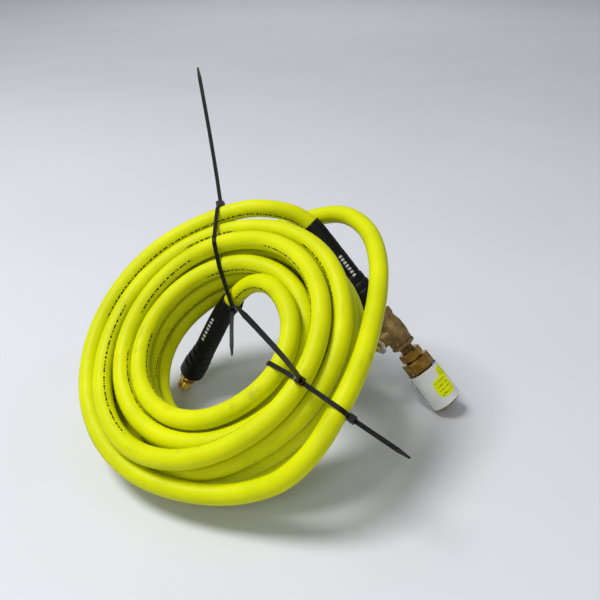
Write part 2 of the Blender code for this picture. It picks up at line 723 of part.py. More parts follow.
def lever_outline():
    """Round eye about the stem, then a straight handle with a round end, towards the hose."""
    points = []
    for i in range(13):
        angle = math.radians(-125 + 250 * i / 12)
        points.append((-LEVER_EYE_R * math.cos(angle), LEVER_EYE_R * math.sin(angle)))
    for i in range(9):
        angle = math.radians(90 - 180 * i / 8)
        points.append((LEVER_LONG + LEVER_WIDE / 2 * math.cos(angle), LEVER_WIDE / 2 * math.sin(angle)))
    return points


# In the stem's frame +X points back along the end, towards the hose
lever = outline("valve_lever", lever_outline(), LEVER_THICK, "steel", stem_frame,
                Matrix.Translation((0, 0, lever_at + LEVER_THICK / 2)))
for side in (-1, 1):
    edge = side * LEVER_WIDE / 2
    skirt = tidy_cutter(box("lever_skirt_%s" % ("left" if side < 0 else "right"),
                            (0.0140, min(edge, edge - side * LEVER_THICK), lever_at + GAP),
                            (LEVER_LONG, max(edge, edge - side * LEVER_THICK), lever_at + LEVER_SKIRT),
                            "steel", stem_frame))
    boolean(lever, skirt, "UNION")
eye = tidy_cutter(bar("lever_eye", STEM_R + RUN, lever_at - GAP, lever_at + LEVER_THICK + GAP, "steel",
                      stem_frame))
window = tidy_cutter(box("lever_window", (0.0160, -LEVER_WINDOW[0] / 2, lever_at - GAP),
                         (0.0160 + LEVER_WINDOW[1], LEVER_WINDOW[0] / 2, lever_at + LEVER_THICK + GAP),
                         "steel", stem_frame))
for drill in (eye, window):
    boolean(lever, drill, "DIFFERENCE")
hex_ring("lever_nut", LEVER_NUT_AF, STEM_R + RUN, lever_nut_at, lever_nut_at + LEVER_NUT, "brass",
         stem_frame)

# Reducing bushing

bushing_thread_end = bushing_thread_at + WIDE_THREAD_LENGTH
bushing = turned("reducing_bushing", [
    (BUSHING_BORE_R, bushing_thread_end), (WIDE_THREAD_R - THREAD_TAPER, bushing_thread_end),
    (WIDE_THREAD_R, bushing_at + GAP), (THREAD_R + RUN, bushing_at + GAP),
    (THREAD_R + RUN, tail_end + GAP), (BUSHING_BORE_R, tail_end + GAP),
], "brass", outer_end)
bushing_hexagon = tidy_cutter(hex_ring("bushing_hexagon", BUSHING_HEX_AF, WIDE_THREAD_R - 2 * THREAD_TAPER,
                                       bushing_at, bushing_thread_at, "brass", outer_end))
boolean(bushing, bushing_hexagon, "UNION")

# Quick coupler: its sleeve's frame rests where the sleeve starts

coupler = turned("coupler_body", [
    (PLUG_BORE_R, barrel_end), (BARREL_R, barrel_end), (BARREL_R, coupler_hex_end - 0.0020),
    (WIDE_THREAD_R + 0.0012, coupler_hex_end - 0.0020), (WIDE_THREAD_R + 0.0012, coupler_at + GAP),
    (WIDE_THREAD_R + RUN, coupler_at + GAP), (WIDE_THREAD_R + RUN, chamber_at), (CHAMBER_R, chamber_at),
    (CHAMBER_R, chamber_at + CHAMBER), (LIP_R, chamber_at + CHAMBER), (LIP_R, chamber_at + CHAMBER + LIP),
    (PLUG_BORE_R, chamber_at + CHAMBER + LIP),
], "brass", outer_end)
coupler_hexagon = tidy_cutter(hex_ring("coupler_hexagon", COUPLER_HEX_AF, WIDE_THREAD_R + 0.0008,
                                       coupler_at, coupler_hex_end, "brass", outer_end))
boolean(coupler, coupler_hexagon, "UNION")

stop_ring_at = sleeve_at + SLEEVE_POCKET + SLEEVE_LAND + GAP
lock_ball_at = stop_ring_at - GAP - LOCK_BALL_R - 0.0007
lock_ball_out = BARREL_R - LOCK_BALL_R - GAP
for i in range(LOCK_BALLS):
    spin = Matrix.Rotation(2 * math.pi * i / LOCK_BALLS, 4, "Z")
    radial = spin @ Matrix.Translation((0, 0, lock_ball_at)) @ stem_turn
    hole = tidy_cutter(bar("lock_hole_%d" % (i + 1), LOCK_BALL_R + RUN, LIP_R, SLEEVE_R, "brass", outer_end,
                           radial, 12))
    boolean(coupler, hole, "DIFFERENCE")
    sphere = bmesh.new()
    bmesh.ops.create_uvsphere(sphere, u_segments=12, v_segments=8, radius=LOCK_BALL_R)
    mesh = bpy.data.meshes.new("lock_ball_%d" % (i + 1))
    sphere.to_mesh(mesh)
    sphere.free()
    place("lock_ball_%d" % (i + 1), mesh, "steel", outer_end,
          radial @ Matrix.Translation((0, 0, lock_ball_out)))


def spring(name, mean_r, bottom, top, curls, parent):
    """A wound spring about the local Z axis, between two heights that its wire reaches."""
    low = bottom + SPRING_WIRE_R
    high = top - SPRING_WIRE_R
    points = []
    for i in range(curls * CURL_POINTS + 1):
        part_way = i / (curls * CURL_POINTS)
        angle = 2 * math.pi * i / CURL_POINTS
        points.append((mean_r * math.cos(angle), mean_r * math.sin(angle), low + (high - low) * part_way))
    return tube(name, points, SPRING_WIRE_R, "steel", parent, 1)


poppet_back = chamber_at + CHAMBER - GAP - POPPET_DISC
poppet_frame = empty("poppet_slide", outer_end, Matrix.Translation((0, 0, poppet_back)))
turned("check_poppet", [
    (0.0, POPPET_DISC + POPPET_NOSE), (POPPET_NOSE_R, POPPET_DISC + POPPET_NOSE),
    (POPPET_NOSE_R, POPPET_DISC), (POPPET_R, POPPET_DISC), (POPPET_R, 0.0), (0.0, 0.0),
], "steel", poppet_frame, closed=False)
spring("poppet_spring", (BUSHING_BORE_R + CHAMBER_R) / 2, bushing_thread_end + GAP, poppet_back - GAP,
       POPPET_CURLS, outer_end)

sleeve_frame = empty("sleeve_slide", outer_end, Matrix.Translation((0, 0, sleeve_at)))
turned("coupler_sleeve", [
    (SLEEVE_MOUTH_R, SLEEVE), (SLEEVE_R, SLEEVE), (SLEEVE_R, 0.0), (SLEEVE_POCKET_R, 0.0),
    (SLEEVE_POCKET_R, SLEEVE_POCKET), (SLEEVE_LAND_R, SLEEVE_POCKET),
    (SLEEVE_LAND_R, SLEEVE_POCKET + SLEEVE_LAND), (SLEEVE_MOUTH_R, SLEEVE_POCKET + SLEEVE_LAND),
], "brass", sleeve_frame)
spring("sleeve_spring", (BARREL_R + SLEEVE_POCKET_R) / 2, coupler_hex_end + GAP,
       sleeve_at + SLEEVE_POCKET - GAP, SLEEVE_CURLS, outer_end)
turned("sleeve_stop_ring", [
    (BARREL_R + RUN, stop_ring_at + STOP_RING), (STOP_RING_R, stop_ring_at + STOP_RING),
    (STOP_RING_R, stop_ring_at), (BARREL_R + RUN, stop_ring_at),
], "steel", outer_end)

# Paper label wrapped round the sleeve, its free end standing off as a flap

label_r = SLEEVE_R + GAP + LABEL_THICK / 2
label_path = [(label_r, -LABEL_FLAP)]
for i in range(FACETS + 1):
    angle = math.radians(350.0 * i / FACETS)
    label_path.append((label_r * math.cos(angle), label_r * math.sin(angle)))
label_middle = SLEEVE - LABEL / 2 - LABEL_END
strip("coupler_label", label_path, LABEL_THICK, LABEL, "paper", sleeve_frame,
      Matrix.Translation((0, 0, label_middle)) @ Matrix.Rotation(math.radians(LABEL_FLAP_DEG), 4, "Z"))

# Cable ties: two bindings round the coil's section, each of two ties through each other's heads


def crossings(route, degrees):
    """Where a hose crosses the half plane at an angle round the coil: (radius, along, reach of its cut)."""
    turn = math.radians(degrees)
    spots = []
    for point in route:
        rel = point - COIL_CENTRE
        x = rel.dot(across)
        y = rel.dot(uphill)
        spots.append(Vector((x * math.cos(turn) + y * math.sin(turn), rel.dot(coil_axis),
                             y * math.cos(turn) - x * math.sin(turn))))
    found = []
    for a, b in zip(spots, spots[1:]):
        if a.z * b.z <= 0 and a.z != b.z and a.x > 0 and b.x > 0:
            spot = a + (b - a) * (a.z / (a.z - b.z))
            square = abs(b.z - a.z) / (b - a).length
            slant = math.sqrt(1 - square ** 2) / square
            found.append((spot.x, spot.y, HOSE_R / square + slant * TIE_WIDE / 2))
    return found


def girdle(sections, distance, step_degrees=6):
    """A taut closed line round a set of hose sections, at a distance from their surfaces."""
    line = []
    for k in range(0, 360, step_degrees):
        angle = math.radians(k)
        toward = Vector((math.cos(angle), math.sin(angle)))
        best = max(sections, key=lambda c: c[0] * toward.x + c[1] * toward.y + c[2])
        line.append(Vector(best[:2]) + (best[2] + distance) * toward)
    fine = []
    for a, b in zip(line, line[1:] + line[:1]):
        count = max(1, math.ceil((b - a).length / 0.004))
        fine += [a + (b - a) * i / count for i in range(count)]
    return fine


def nearest(line, spot):
    return min(range(len(line)), key=lambda i: (line[i] - Vector(spot)).length)


def tie(name, line, start, stop, tip, matrix):
    """One tie: its head at start, its strap along the line to the other head at stop, and its tail."""
    def local(i):
        along = (line[(i + 1) % len(line)] - line[i - 1]).normalized()
        return line[i], along, Vector((along.y, -along.x))

    here, along, outward = local(start)
    head = [here + along * x + outward * y for x, y in (
        (TIE_FOOT, -TIE_THICK / 2), (HEAD_LONG / 2, -TIE_THICK / 2),
        (HEAD_LONG / 2, TIE_THICK / 2 + HEAD_HIGH), (-HEAD_LONG / 2, TIE_THICK / 2 + HEAD_HIGH),
        (-HEAD_LONG / 2, TIE_THICK / 2 + GAP), (TIE_FOOT, TIE_THICK / 2 + GAP))]
    head_part = tidy_cutter(outline(name + "_head", head, HEAD_WIDE, "nylon", assembly, matrix))
    slot = [here + along * x + outward * y for x, y in (
        (TIE_SLOT_FRONT, 0.0), (TIE_SLOT_FRONT, 2 * HEAD_HIGH), (-TIE_SLOT_BACK, 2 * HEAD_HIGH),
        (-TIE_SLOT_BACK, 0.0))]
    slot_part = tidy_cutter(outline(name + "_slot", slot, TIE_WIDE + 2 * RUN, "nylon", assembly, matrix))

    path = [here + along * (TIE_FOOT + 0.0004)]
    i = (start + 1) % len(line)
    there, arriving, leaving = local(stop)
    bend_start = there - arriving * (TIE_BEND_R + TIE_THICK / 2)
    while i != stop:
        past_head = (line[i] - here).dot(along) > 0.0015 or (line[i] - here).length > HEAD_LONG
        before_bend = (line[i] - bend_start).dot(arriving) < -0.0005 or (line[i] - there).length > HEAD_LONG
        if past_head and before_bend:
            path.append(line[i])
        i = (i + 1) % len(line)
    centre = bend_start + leaving * TIE_BEND_R
    for k in range(5):
        angle = math.pi / 2 * k / 4
        path.append(centre + TIE_BEND_R * (arriving * math.sin(angle) - leaving * math.cos(angle)))
    out = path[-1]
    pull = out + leaving * (Vector(tip) - out).length / 3
    for k in range(1, 9):
        t = k / 8
        path.append((1 - t) ** 2 * out + 2 * t * (1 - t) * pull + t ** 2 * Vector(tip))
    strap = strip(name, path, TIE_THICK, TIE_WIDE, "nylon", assembly, matrix)
    boolean(strap, head_part, "UNION")
    boolean(strap, slot_part, "DIFFERENCE")
    return strap


def in_plane(spot):
    """Distance from the coil's axis and place along it, from pitches."""
    return COIL_OUTER_R + spot[0] * COIL_PITCH, spot[1] * COIL_PITCH


def binding(name, degrees, routes, heads, tips):
    """Two ties round the routes at one angle; each tail comes out of the other tie's head."""
    sections = [spot for route in routes for spot in crossings(route, degrees)]
    line = girdle(sections, TIE_CLEAR + TIE_THICK / 2)
    radial = round_coil(degrees, 1.0, 0.0)
    matrix = frame_matrix(COIL_CENTRE, radial, coil_axis, radial.cross(coil_axis))
    first, second = [nearest(line, in_plane(head)) for head in heads]
    tie(name + "_tie_1", line, first, second, in_plane(tips[1]), matrix)
    tie(name + "_tie_2", line, second, first, in_plane(tips[0]), matrix)


binding("top", TOP_TIE_DEG, (coil_points, outer_tail_points, inner_tail_points), TOP_TIE_HEADS,
        TOP_TIE_TIPS)
binding("side", SIDE_TIE_DEG, (coil_points, outer_tail_points), SIDE_TIE_HEADS, SIDE_TIE_TIPS)

# Stand the part with the middle of its box over the origin

bpy.context.view_layer.update()
graph = bpy.context.evaluated_depsgraph_get()
spots = []
for part in parts.objects:
    if part.type != "EMPTY":
        seen = part.evaluated_get(graph)
        spots += [seen.matrix_world @ vertex.co for vertex in seen.to_mesh().vertices]
        seen.to_mesh_clear()
middle = [(min(spot[k] for spot in spots) + max(spot[k] for spot in spots)) / 2 for k in range(2)]
assembly.location = (-middle[0], -middle[1], 0.0)
bpy.context.view_layer.update()
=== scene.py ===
# %% [markdown]
# # A coiled air hose, dressed for the camera
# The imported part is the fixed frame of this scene: each piece takes its place and its motion from it. The
# lesson builds finer shapes and real finishes over that frame, one piece at a time, and ends with the
# floor and the light.

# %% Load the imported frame
import itertools
import json
import math

import bmesh
import bpy
import numpy as np
from mathutils import Matrix, Vector


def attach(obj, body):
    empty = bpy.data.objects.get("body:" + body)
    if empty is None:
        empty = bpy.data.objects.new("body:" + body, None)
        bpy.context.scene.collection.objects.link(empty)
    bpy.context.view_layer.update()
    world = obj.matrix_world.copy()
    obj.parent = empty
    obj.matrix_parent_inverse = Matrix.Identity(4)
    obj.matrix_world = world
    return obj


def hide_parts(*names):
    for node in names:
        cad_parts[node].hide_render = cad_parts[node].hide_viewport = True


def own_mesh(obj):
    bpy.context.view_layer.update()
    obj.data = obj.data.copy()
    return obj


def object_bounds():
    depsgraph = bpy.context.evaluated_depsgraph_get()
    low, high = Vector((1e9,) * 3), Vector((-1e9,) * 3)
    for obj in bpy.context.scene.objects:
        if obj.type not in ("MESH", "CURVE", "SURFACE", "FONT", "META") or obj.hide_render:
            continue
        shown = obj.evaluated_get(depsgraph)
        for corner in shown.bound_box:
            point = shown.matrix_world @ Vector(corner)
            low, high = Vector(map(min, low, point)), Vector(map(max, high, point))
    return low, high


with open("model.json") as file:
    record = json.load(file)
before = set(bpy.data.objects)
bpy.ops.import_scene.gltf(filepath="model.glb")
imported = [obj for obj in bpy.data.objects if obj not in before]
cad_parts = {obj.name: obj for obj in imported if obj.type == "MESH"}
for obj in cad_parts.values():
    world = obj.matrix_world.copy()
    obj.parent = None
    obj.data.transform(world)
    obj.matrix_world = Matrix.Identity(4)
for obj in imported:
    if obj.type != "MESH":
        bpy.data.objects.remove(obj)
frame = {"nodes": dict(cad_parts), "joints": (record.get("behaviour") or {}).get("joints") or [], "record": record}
cad_low, cad_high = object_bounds()
nodes = frame["nodes"]
joints = {joint["name"]: joint for joint in frame["joints"]}
mounts = {mount["name"]: mount for mount in frame["record"]["mounts"]}

# %% [markdown]
# ## Frames of the ends
# At each end of the hose the fittings stand in one line, so each end gets a frame of its own: +Z points
# out along the end, and the hose's end face is the origin. The frames could be typed in as numbers, but
# the valve's joint and the mount on the threaded tip give the same ones wherever the part stands. A third
# frame follows the valve's stem.

# %% Frames of the ends
BALL_AT = 0.0335            # valve ball's centre from the outer end face
THREAD_END = 0.0230         # end of a hose fitting's thread from its end face
INLET_OFF_AXIS = 0.0046     # the inlet mount stands this far off the fitting's axis


def frame_of(origin, side, z_axis):
    """A frame with +Z along z_axis and +X towards side."""
    z_axis = Vector(z_axis).normalized()
    x_axis = (Vector(side) - Vector(side).dot(z_axis) * z_axis).normalized()
    y_axis = z_axis.cross(x_axis)
    matrix = Matrix((x_axis, y_axis, z_axis)).transposed().to_4x4()
    matrix.translation = origin
    return matrix


ball = Vector(joints["valve_turn"]["pos_m"])
stem_way = joints["valve_turn"]["axis"]
outer_z = -Vector(joints["sleeve_slide"]["axis"])
OUTER = frame_of(ball - BALL_AT * outer_z, stem_way, outer_z)
STEM = frame_of(ball, -outer_z, stem_way)

inlet = mounts["inlet_face"]
inner_z = Vector(inlet["axis"])
INNER = frame_of((0, 0, 0), (0, 1, 0), inner_z)
inlet_side = INLET_OFF_AXIS * INNER.col[0].to_3d()
INNER.translation = Vector(inlet["pos_m"]) - THREAD_END * inner_z - inlet_side
for name, matrix in (("outer", OUTER), ("inner", INNER)):
    print(name, "end at", tuple(round(v, 4) for v in matrix.translation))

# %% [markdown]
# ## The coil's directions
# The coil leans: its axis is tipped from upright towards the front left. An angle round that axis, a
# radius and a height along it say best where a turn lies. So the route is written in those three, and one
# function turns them into a place. A tilted parent object could do the same, but then no point could be
# measured in the part's frame.

# %% Coil directions
COIL_TILT = math.radians(36.0)          # from upright
COIL_HEADING = math.radians(41.0)       # from the front towards the left

coil_axis = Vector((
    -math.sin(COIL_TILT) * math.sin(COIL_HEADING),
    -math.sin(COIL_TILT) * math.cos(COIL_HEADING),
    math.cos(COIL_TILT),
))
uphill = (Vector((0, 0, 1)) - coil_axis.z * coil_axis).normalized()
across = uphill.cross(coil_axis)


def round_coil(degrees, radius, along):
    """A place from the coil's middle."""
    angle = math.radians(degrees)
    return radius * (math.cos(angle) * across + math.sin(angle) * uphill) + along * coil_axis


print("coil axis", tuple(round(v, 3) for v in coil_axis))

# %% [markdown]
# ## Winding
# Most of the hose is wound in three layers, and takes half a turn to climb from each layer to the next. A
# screw modifier can wind one layer but not the climbs, so each point is placed by the number of turns
# before it. The numbers repeat those of the part's own source, so that the tube lies where its solids
# lie.

# %% Winding
HOSE_OD = 0.016
HOSE_R = HOSE_OD / 2
REST_FLAT = HOSE_OD / 10    # the hose is pressed flat by this much where it rests
REST_HEIGHT = HOSE_R - REST_FLAT
COIL_INNER_R = 0.0740
TURN_GAP = 0.0008
COIL_PITCH = HOSE_OD + TURN_GAP
COIL_TURNS = 10.5
COIL_LAYERS = 3
COIL_OUTER_R = COIL_INNER_R + (COIL_LAYERS - 1) * COIL_PITCH
COIL_START_DEG = 23.5
COIL_LEAD = 0.0139          # the first turn starts this far inside its layer
LEAD_TURNS = 0.1
CLIMB_TURNS = 0.5
LAYER_TURNS = (COIL_TURNS - (COIL_LAYERS - 1) * CLIMB_TURNS) / COIL_LAYERS
CAD_POINTS_A_TURN = 24
SLEEVE_END = 0.1157         # end of the coupler's sleeve from the outer end face
OUTER_TIP_XY = Vector((0.1966, 0.0300))     # from the coil's middle to that end, seen from above


def section_place(turns):
    """Radius, and height along the axis, after a number of turns."""
    half = LAYER_TURNS * COIL_PITCH / 2
    layer = min(int(turns / (LAYER_TURNS + CLIMB_TURNS)), COIL_LAYERS - 1)
    into = turns - layer * (LAYER_TURNS + CLIMB_TURNS)
    way = -1 if layer % 2 == 0 else 1
    radius = COIL_INNER_R + layer * COIL_PITCH - COIL_LEAD * max(0.0, 1 - turns / LEAD_TURNS) ** 2
    if into <= LAYER_TURNS:
        return radius, way * (into * COIL_PITCH - half)
    climb = (into - LAYER_TURNS) / CLIMB_TURNS
    radius += COIL_PITCH * climb ** 2 * (3 - 2 * climb)
    return radius, way * (half + COIL_PITCH * CLIMB_TURNS * climb * (1 - climb))


def wound_route(points_a_turn):
    """The wound part of the hose, from the coil's middle."""
    count = round(COIL_TURNS * points_a_turn)
    return [round_coil(COIL_START_DEG - 360 * i / points_a_turn, *section_place(i / points_a_turn))
            for i in range(count + 1)]


lowest = min(point.z for point in wound_route(CAD_POINTS_A_TURN))
tip = OUTER @ Vector((0, 0, SLEEVE_END))
COIL_CENTRE = Vector((tip.x - OUTER_TIP_XY.x, tip.y - OUTER_TIP_XY.y, REST_HEIGHT - lowest))
print("coil centre", tuple(round(v, 4) for v in COIL_CENTRE))

# %% [markdown]
# ## The free stretches
# From its inner fitting the hose rises into the coil. It leaves the coil at the back, makes one loose
# turn round everything and ends at the valve. Both stretches run through listed places. A Bezier curve
# object could join them, but a Hermite line written out here passes through the same points as the part's
# source.

# %% Free stretches
GAP = 0.0003
JOIN_TURNS = 0.107          # the inner stretch lies against the coil from here on
FINE_TURN = 4 * CAD_POINTS_A_TURN
KNOT_STEPS = 24
INNER_STRAIGHT = 0.0328
OUTER_STRAIGHT = 0.0870
END_PULL = 1.2              # how strongly a line keeps its directions at its ends
# Degrees round the coil, then pitches out from a layer and along the axis
INNER_RISE = [(141.7, -1.179, -1.089), (100.0, -1.012, 0.536), (65.0, -0.792, 1.375), (30.0, -0.351, 1.530)]
LOOSE_TURN = [
    (165.0, 0.619, -1.607), (148.0, 0.917, -1.637), (130.0, 1.333, -1.637), (114.0, 1.899, -1.577),
    (101.0, 2.524, -1.458), (86.0, 3.119, -1.012), (72.0, 2.851, -0.667), (58.8, 2.202, -0.381),
    (45.0, 1.560, -0.095), (31.4, 1.155, 0.190), (11.8, 1.125, 0.667), (-4.2, 1.345, 0.893),
    (-19.6, 1.690, 0.762), (-32.0, 1.690, 0.417), (-45.0, 1.393, 0.238), (-69.0, 1.071, 0.595),
    (-87.0, 1.036, 0.893), (-107.0, 1.036, 1.071), (-130.0, 1.036, 1.250), (-155.0, 1.036, 1.369),
    (-180.0, 1.036, 1.429), (-205.0, 1.036, 1.429), (-224.0, 1.071, 1.310), (-249.0, 1.542, 0.863),
]


def array(points):
    return np.array([tuple(point) for point in points])


def hermite(knots, start_way, end_way):
    """A smooth line through knots that starts and ends in given directions."""
    knots = array(knots)
    steps = np.diff(knots, axis=0)
    spans = np.linalg.norm(steps, axis=1)
    slopes = steps / spans[:, None]
    ways = [END_PULL * np.array(start_way)]
    for i in range(1, len(knots) - 1):
        ways.append((slopes[i - 1] * spans[i] + slopes[i] * spans[i - 1]) / (spans[i - 1] + spans[i]))
    ways.append(END_PULL * np.array(end_way))
    line = []
    for i, stretch in enumerate(spans):
        for t in np.linspace(0.0, 1.0, KNOT_STEPS, endpoint=False):
            line.append((1 + 2 * t) * (1 - t) ** 2 * knots[i] + t * (1 - t) ** 2 * stretch * ways[i]
                        + t ** 2 * (3 - 2 * t) * knots[i + 1] + t ** 2 * (t - 1) * stretch * ways[i + 1])
    return line + [knots[-1]]


def coil_spots(rows, layer_r):
    return [COIL_CENTRE + round_coil(degrees, layer_r + out * COIL_PITCH, along * COIL_PITCH)
            for degrees, out, along in rows]


wound = [COIL_CENTRE + point for point in wound_route(FINE_TURN)][round(JOIN_TURNS * FINE_TURN):]
coil_in = (wound[0] - wound[1]).normalized()
coil_out = (wound[-1] - wound[-2]).normalized()
inner_start = INNER @ Vector((0, 0, -INNER_STRAIGHT))
inner_line = hermite([inner_start, *coil_spots(INNER_RISE, COIL_INNER_R), wound[0]], -inner_z, -coil_in)
outer_start = wound[-1] + (2 * HOSE_OD + GAP) * coil_out
outer_stop = OUTER @ Vector((0, 0, -OUTER_STRAIGHT))
outer_line = hermite([outer_start, *coil_spots(LOOSE_TURN, COIL_OUTER_R), outer_stop], coil_out, outer_z)
print("points: inner", len(inner_line), "wound", len(wound), "outer", len(outer_line))

# %% [markdown]
# ## One smooth line
# The hose is one length, and a real one can't kink where two stretches of a route meet. So the stretches
# are joined, the points are set at even distances, and a bell-shaped average evens out the bends.
# Blender's smooth modifier would also pull the ends in; here the line is drawn on straight past both ends
# first, so they stay where they are.

# %% One smooth line
ROUTE_STEP = 0.004
SOFTEN = 0.007              # how far along the hose a bend is evened out
SOFTEN_TAIL = 4             # the average ends at this many times that distance


def run_along(line):
    """Length from the line's start to each of its points."""
    return np.concatenate([[0.0], np.cumsum(np.linalg.norm(np.diff(line, axis=0), axis=1))])


def at_run(line, run, stations):
    """Places on a line at given lengths from its start."""
    return np.stack([np.interp(stations, run, line[:, k]) for k in range(3)], axis=1)


def even(points, step):
    """The same line with its points at even distances."""
    points = array(points)
    run = run_along(points)
    return at_run(points, run, np.linspace(0.0, run[-1], round(run[-1] / step) + 1))


def softened(points, reach, step):
    """Evens out the bends of a line, and keeps its two ends and their directions."""
    half = int(SOFTEN_TAIL * reach / step)
    weights = np.exp(-0.5 * (np.arange(-half, half + 1) * step / reach) ** 2)
    weights /= weights.sum()
    ahead = points[0] + (points[0] - points[1]) * np.arange(half, 0, -1)[:, None]
    after = points[-1] + (points[-1] - points[-2]) * np.arange(1, half + 1)[:, None]
    long = np.concatenate([ahead, points, after])
    return np.stack([np.convolve(long[:, k], weights, mode="valid") for k in range(3)], axis=1)


inner_face = INNER @ Vector((0, 0, -GAP))
outer_face = OUTER @ Vector((0, 0, -GAP))
rough_line = [inner_face, *inner_line, *wound[1:], *outer_line, outer_face]
hose_line = softened(even(rough_line, ROUTE_STEP), SOFTEN, ROUTE_STEP)
print("hose length %.3f m in %d points" % (run_along(hose_line)[-1], len(hose_line)))

# %% [markdown]
# ## How the turns lie
# A real coil isn't wound like thread on a reel. Two bindings hold its turns together; between them the
# turns spread and lean on each other. They could be moved by hand, one by one. Here seeded dice give each
# turn a bulge of its own, which grows from nothing at one binding and fades to nothing at the next.

# %% Bulges between the bindings
TIE_DEGREES = {"top": 127.0, "side": -4.0}
HELD_DEGREES = 11.0         # the hose doesn't move this near a binding
LAYER_BULGE = (0.0005, 0.0030, 0.0055)
BULGE_SPREAD = 0.0045       # how unlike two turns may be
SHORT_SHARE = 0.5           # the short way between the bindings spreads less
FREE_SOON = 4               # how soon after a binding the hose is quite free
BULGE_SEED = 7

axis_way = np.array(coil_axis)


def away_from_axis(line):
    """Directions from the coil's axis to each point of a line."""
    ways = line - np.array(COIL_CENTRE)
    ways -= np.outer(ways @ axis_way, axis_way)
    return ways / np.linalg.norm(ways, axis=1)[:, None]


def arc_window(degrees, start, stop):
    """Grows from nothing at one binding to one half-way and back to nothing at the next."""
    sweep = (stop - start) % 360
    into = (degrees - start) % 360
    return np.where(into < sweep, np.sin(np.pi * into / sweep) ** 2, 0.0)


hose_run = run_along(hose_line)
wound_start = run_along(array([inner_face, *inner_line, wound[0]]))[-1]
wound_length = sum((b - a).length for a, b in zip(wound, wound[1:]))
in_coil = (hose_run > wound_start) & (hose_run < wound_start + wound_length)
turn_at = np.clip((hose_run - wound_start) / wound_length, 0.0, 1.0) * COIL_TURNS
from_middle = hose_line - np.array(COIL_CENTRE)
angle_at = np.degrees(np.arctan2(from_middle @ np.array(uphill), from_middle @ np.array(across)))
wide_arc = arc_window(angle_at, TIE_DEGREES["top"] + HELD_DEGREES, TIE_DEGREES["side"] - HELD_DEGREES)
short_arc = arc_window(angle_at, TIE_DEGREES["side"] + HELD_DEGREES, TIE_DEGREES["top"] - HELD_DEGREES)
freedom = np.where(in_coil, np.minimum(1.0, FREE_SOON * (wide_arc + short_arc)), 0.0)

dice = np.random.default_rng(BULGE_SEED)
spread = dice.uniform(-BULGE_SPREAD, BULGE_SPREAD, (4, int(COIL_TURNS) + 2))
wide_out, short_out, wide_up, short_up = [
    np.interp(turn_at, np.arange(spread.shape[1]), row) for row in spread]
layer_middles = (np.arange(COIL_LAYERS) + 0.5) * COIL_TURNS / COIL_LAYERS
layer_bulge = np.interp(turn_at, layer_middles, LAYER_BULGE)
outward = wide_arc * (layer_bulge + wide_out) + short_arc * SHORT_SHARE * short_out
upward = wide_arc * wide_up + short_arc * SHORT_SHARE * short_up
bulge = outward[:, None] * away_from_axis(hose_line) + np.outer(upward, axis_way)
goal = hose_line + freedom[:, None] * bulge
print("points free to move:", int((freedom > 0).sum()), "of", len(hose_line))

# %% [markdown]
# ## Settling
# Bulges alone would push some turns through others. A rigid body or cloth simulation could settle them,
# but a hose of nearly two thousand points is quicker to settle by hand-written steps: each round pulls
# the points to their goals, straightens what is bent too sharply, pushes apart what touches, and lifts
# what has sunk into the table.

# %% Settle the turns
SETTLE_ROUNDS = 160
PAIR_ROUNDS = 10            # rounds after which the near places are looked up again
NEAR = 1.5 * HOSE_OD        # pairs this close are watched
NEIGHBOURS = int(2.5 * HOSE_OD / ROUTE_STEP)    # points as close as this along the hose are no pair
CONTACT = HOSE_OD + 0.0001
PULL = 0.04
STIFFNESS = 0.05
PUSH = 0.5
LEAST_SHARE = 0.01          # so that nothing is divided by zero


def squared_gaps(line):
    square = (line ** 2).sum(axis=1)
    return square[:, None] + square[None] - 2 * line @ line.T


spots = hose_line.copy()
for step in range(SETTLE_ROUNDS):
    if step % PAIR_ROUNDS == 0:
        first, second = np.nonzero(np.triu(squared_gaps(spots) < NEAR ** 2, NEIGHBOURS))
    spots += PULL * freedom[:, None] * (goal - spots)
    bend = np.zeros_like(spots)
    bend[2:-2] = spots[:-4] + spots[4:] - 4 * spots[1:-3] - 4 * spots[3:-1] + 6 * spots[2:-2]
    spots -= STIFFNESS * freedom[:, None] * bend
    way = spots[first] - spots[second]
    distance = np.linalg.norm(way, axis=1)
    share = freedom[first] + freedom[second]
    touching = (distance < CONTACT) & (share > 0)
    push = np.where(touching, (CONTACT - distance) / np.maximum(share, LEAST_SHARE), 0.0)
    push = PUSH * (push / distance)[:, None] * way
    np.add.at(spots, first, push * freedom[first][:, None])
    np.add.at(spots, second, -push * freedom[second][:, None])
    spots[(spots[:, 2] < REST_HEIGHT) & (freedom > 0), 2] = REST_HEIGHT

most_moved = np.linalg.norm(spots - hose_line, axis=1).max()
nearest_turns = math.sqrt(squared_gaps(spots)[np.triu_indices(len(spots), NEIGHBOURS)].min())
print("moved up to %.1f mm, nearest turns %.2f mm apart" % (1000 * most_moved, 1000 * nearest_turns))
hose_line = spots
hose_run = run_along(hose_line)

# %% [markdown]
# ## Camera
# The camera stands a little over half a metre in front of the coil and looks down at 28 degrees, as in
# the photograph. It is placed from the coil's middle, in hose diameters, because that is how it was
# measured. Blender's camera looks down when it isn't turned, so 62 degrees of turn leave it 28 degrees
# below level.

# %% Camera
CAMERA_FROM_COIL = Vector((3.74, -31.34, 19.40)) * HOSE_OD
CAMERA_TURN = math.radians(62.0)
camera_data = bpy.data.cameras.new("camera")
camera_data.lens = 42.0
camera_data.sensor_width = 36.0
camera = bpy.data.objects.new("camera", camera_data)
camera.location = COIL_CENTRE + CAMERA_FROM_COIL
camera.rotation_euler = (CAMERA_TURN, 0.0, 0.0)
bpy.context.scene.collection.objects.link(camera)
bpy.context.scene.camera = camera
bpy.context.scene.view_settings.view_transform = "Standard"
print("camera at", tuple(round(v, 3) for v in camera.location))


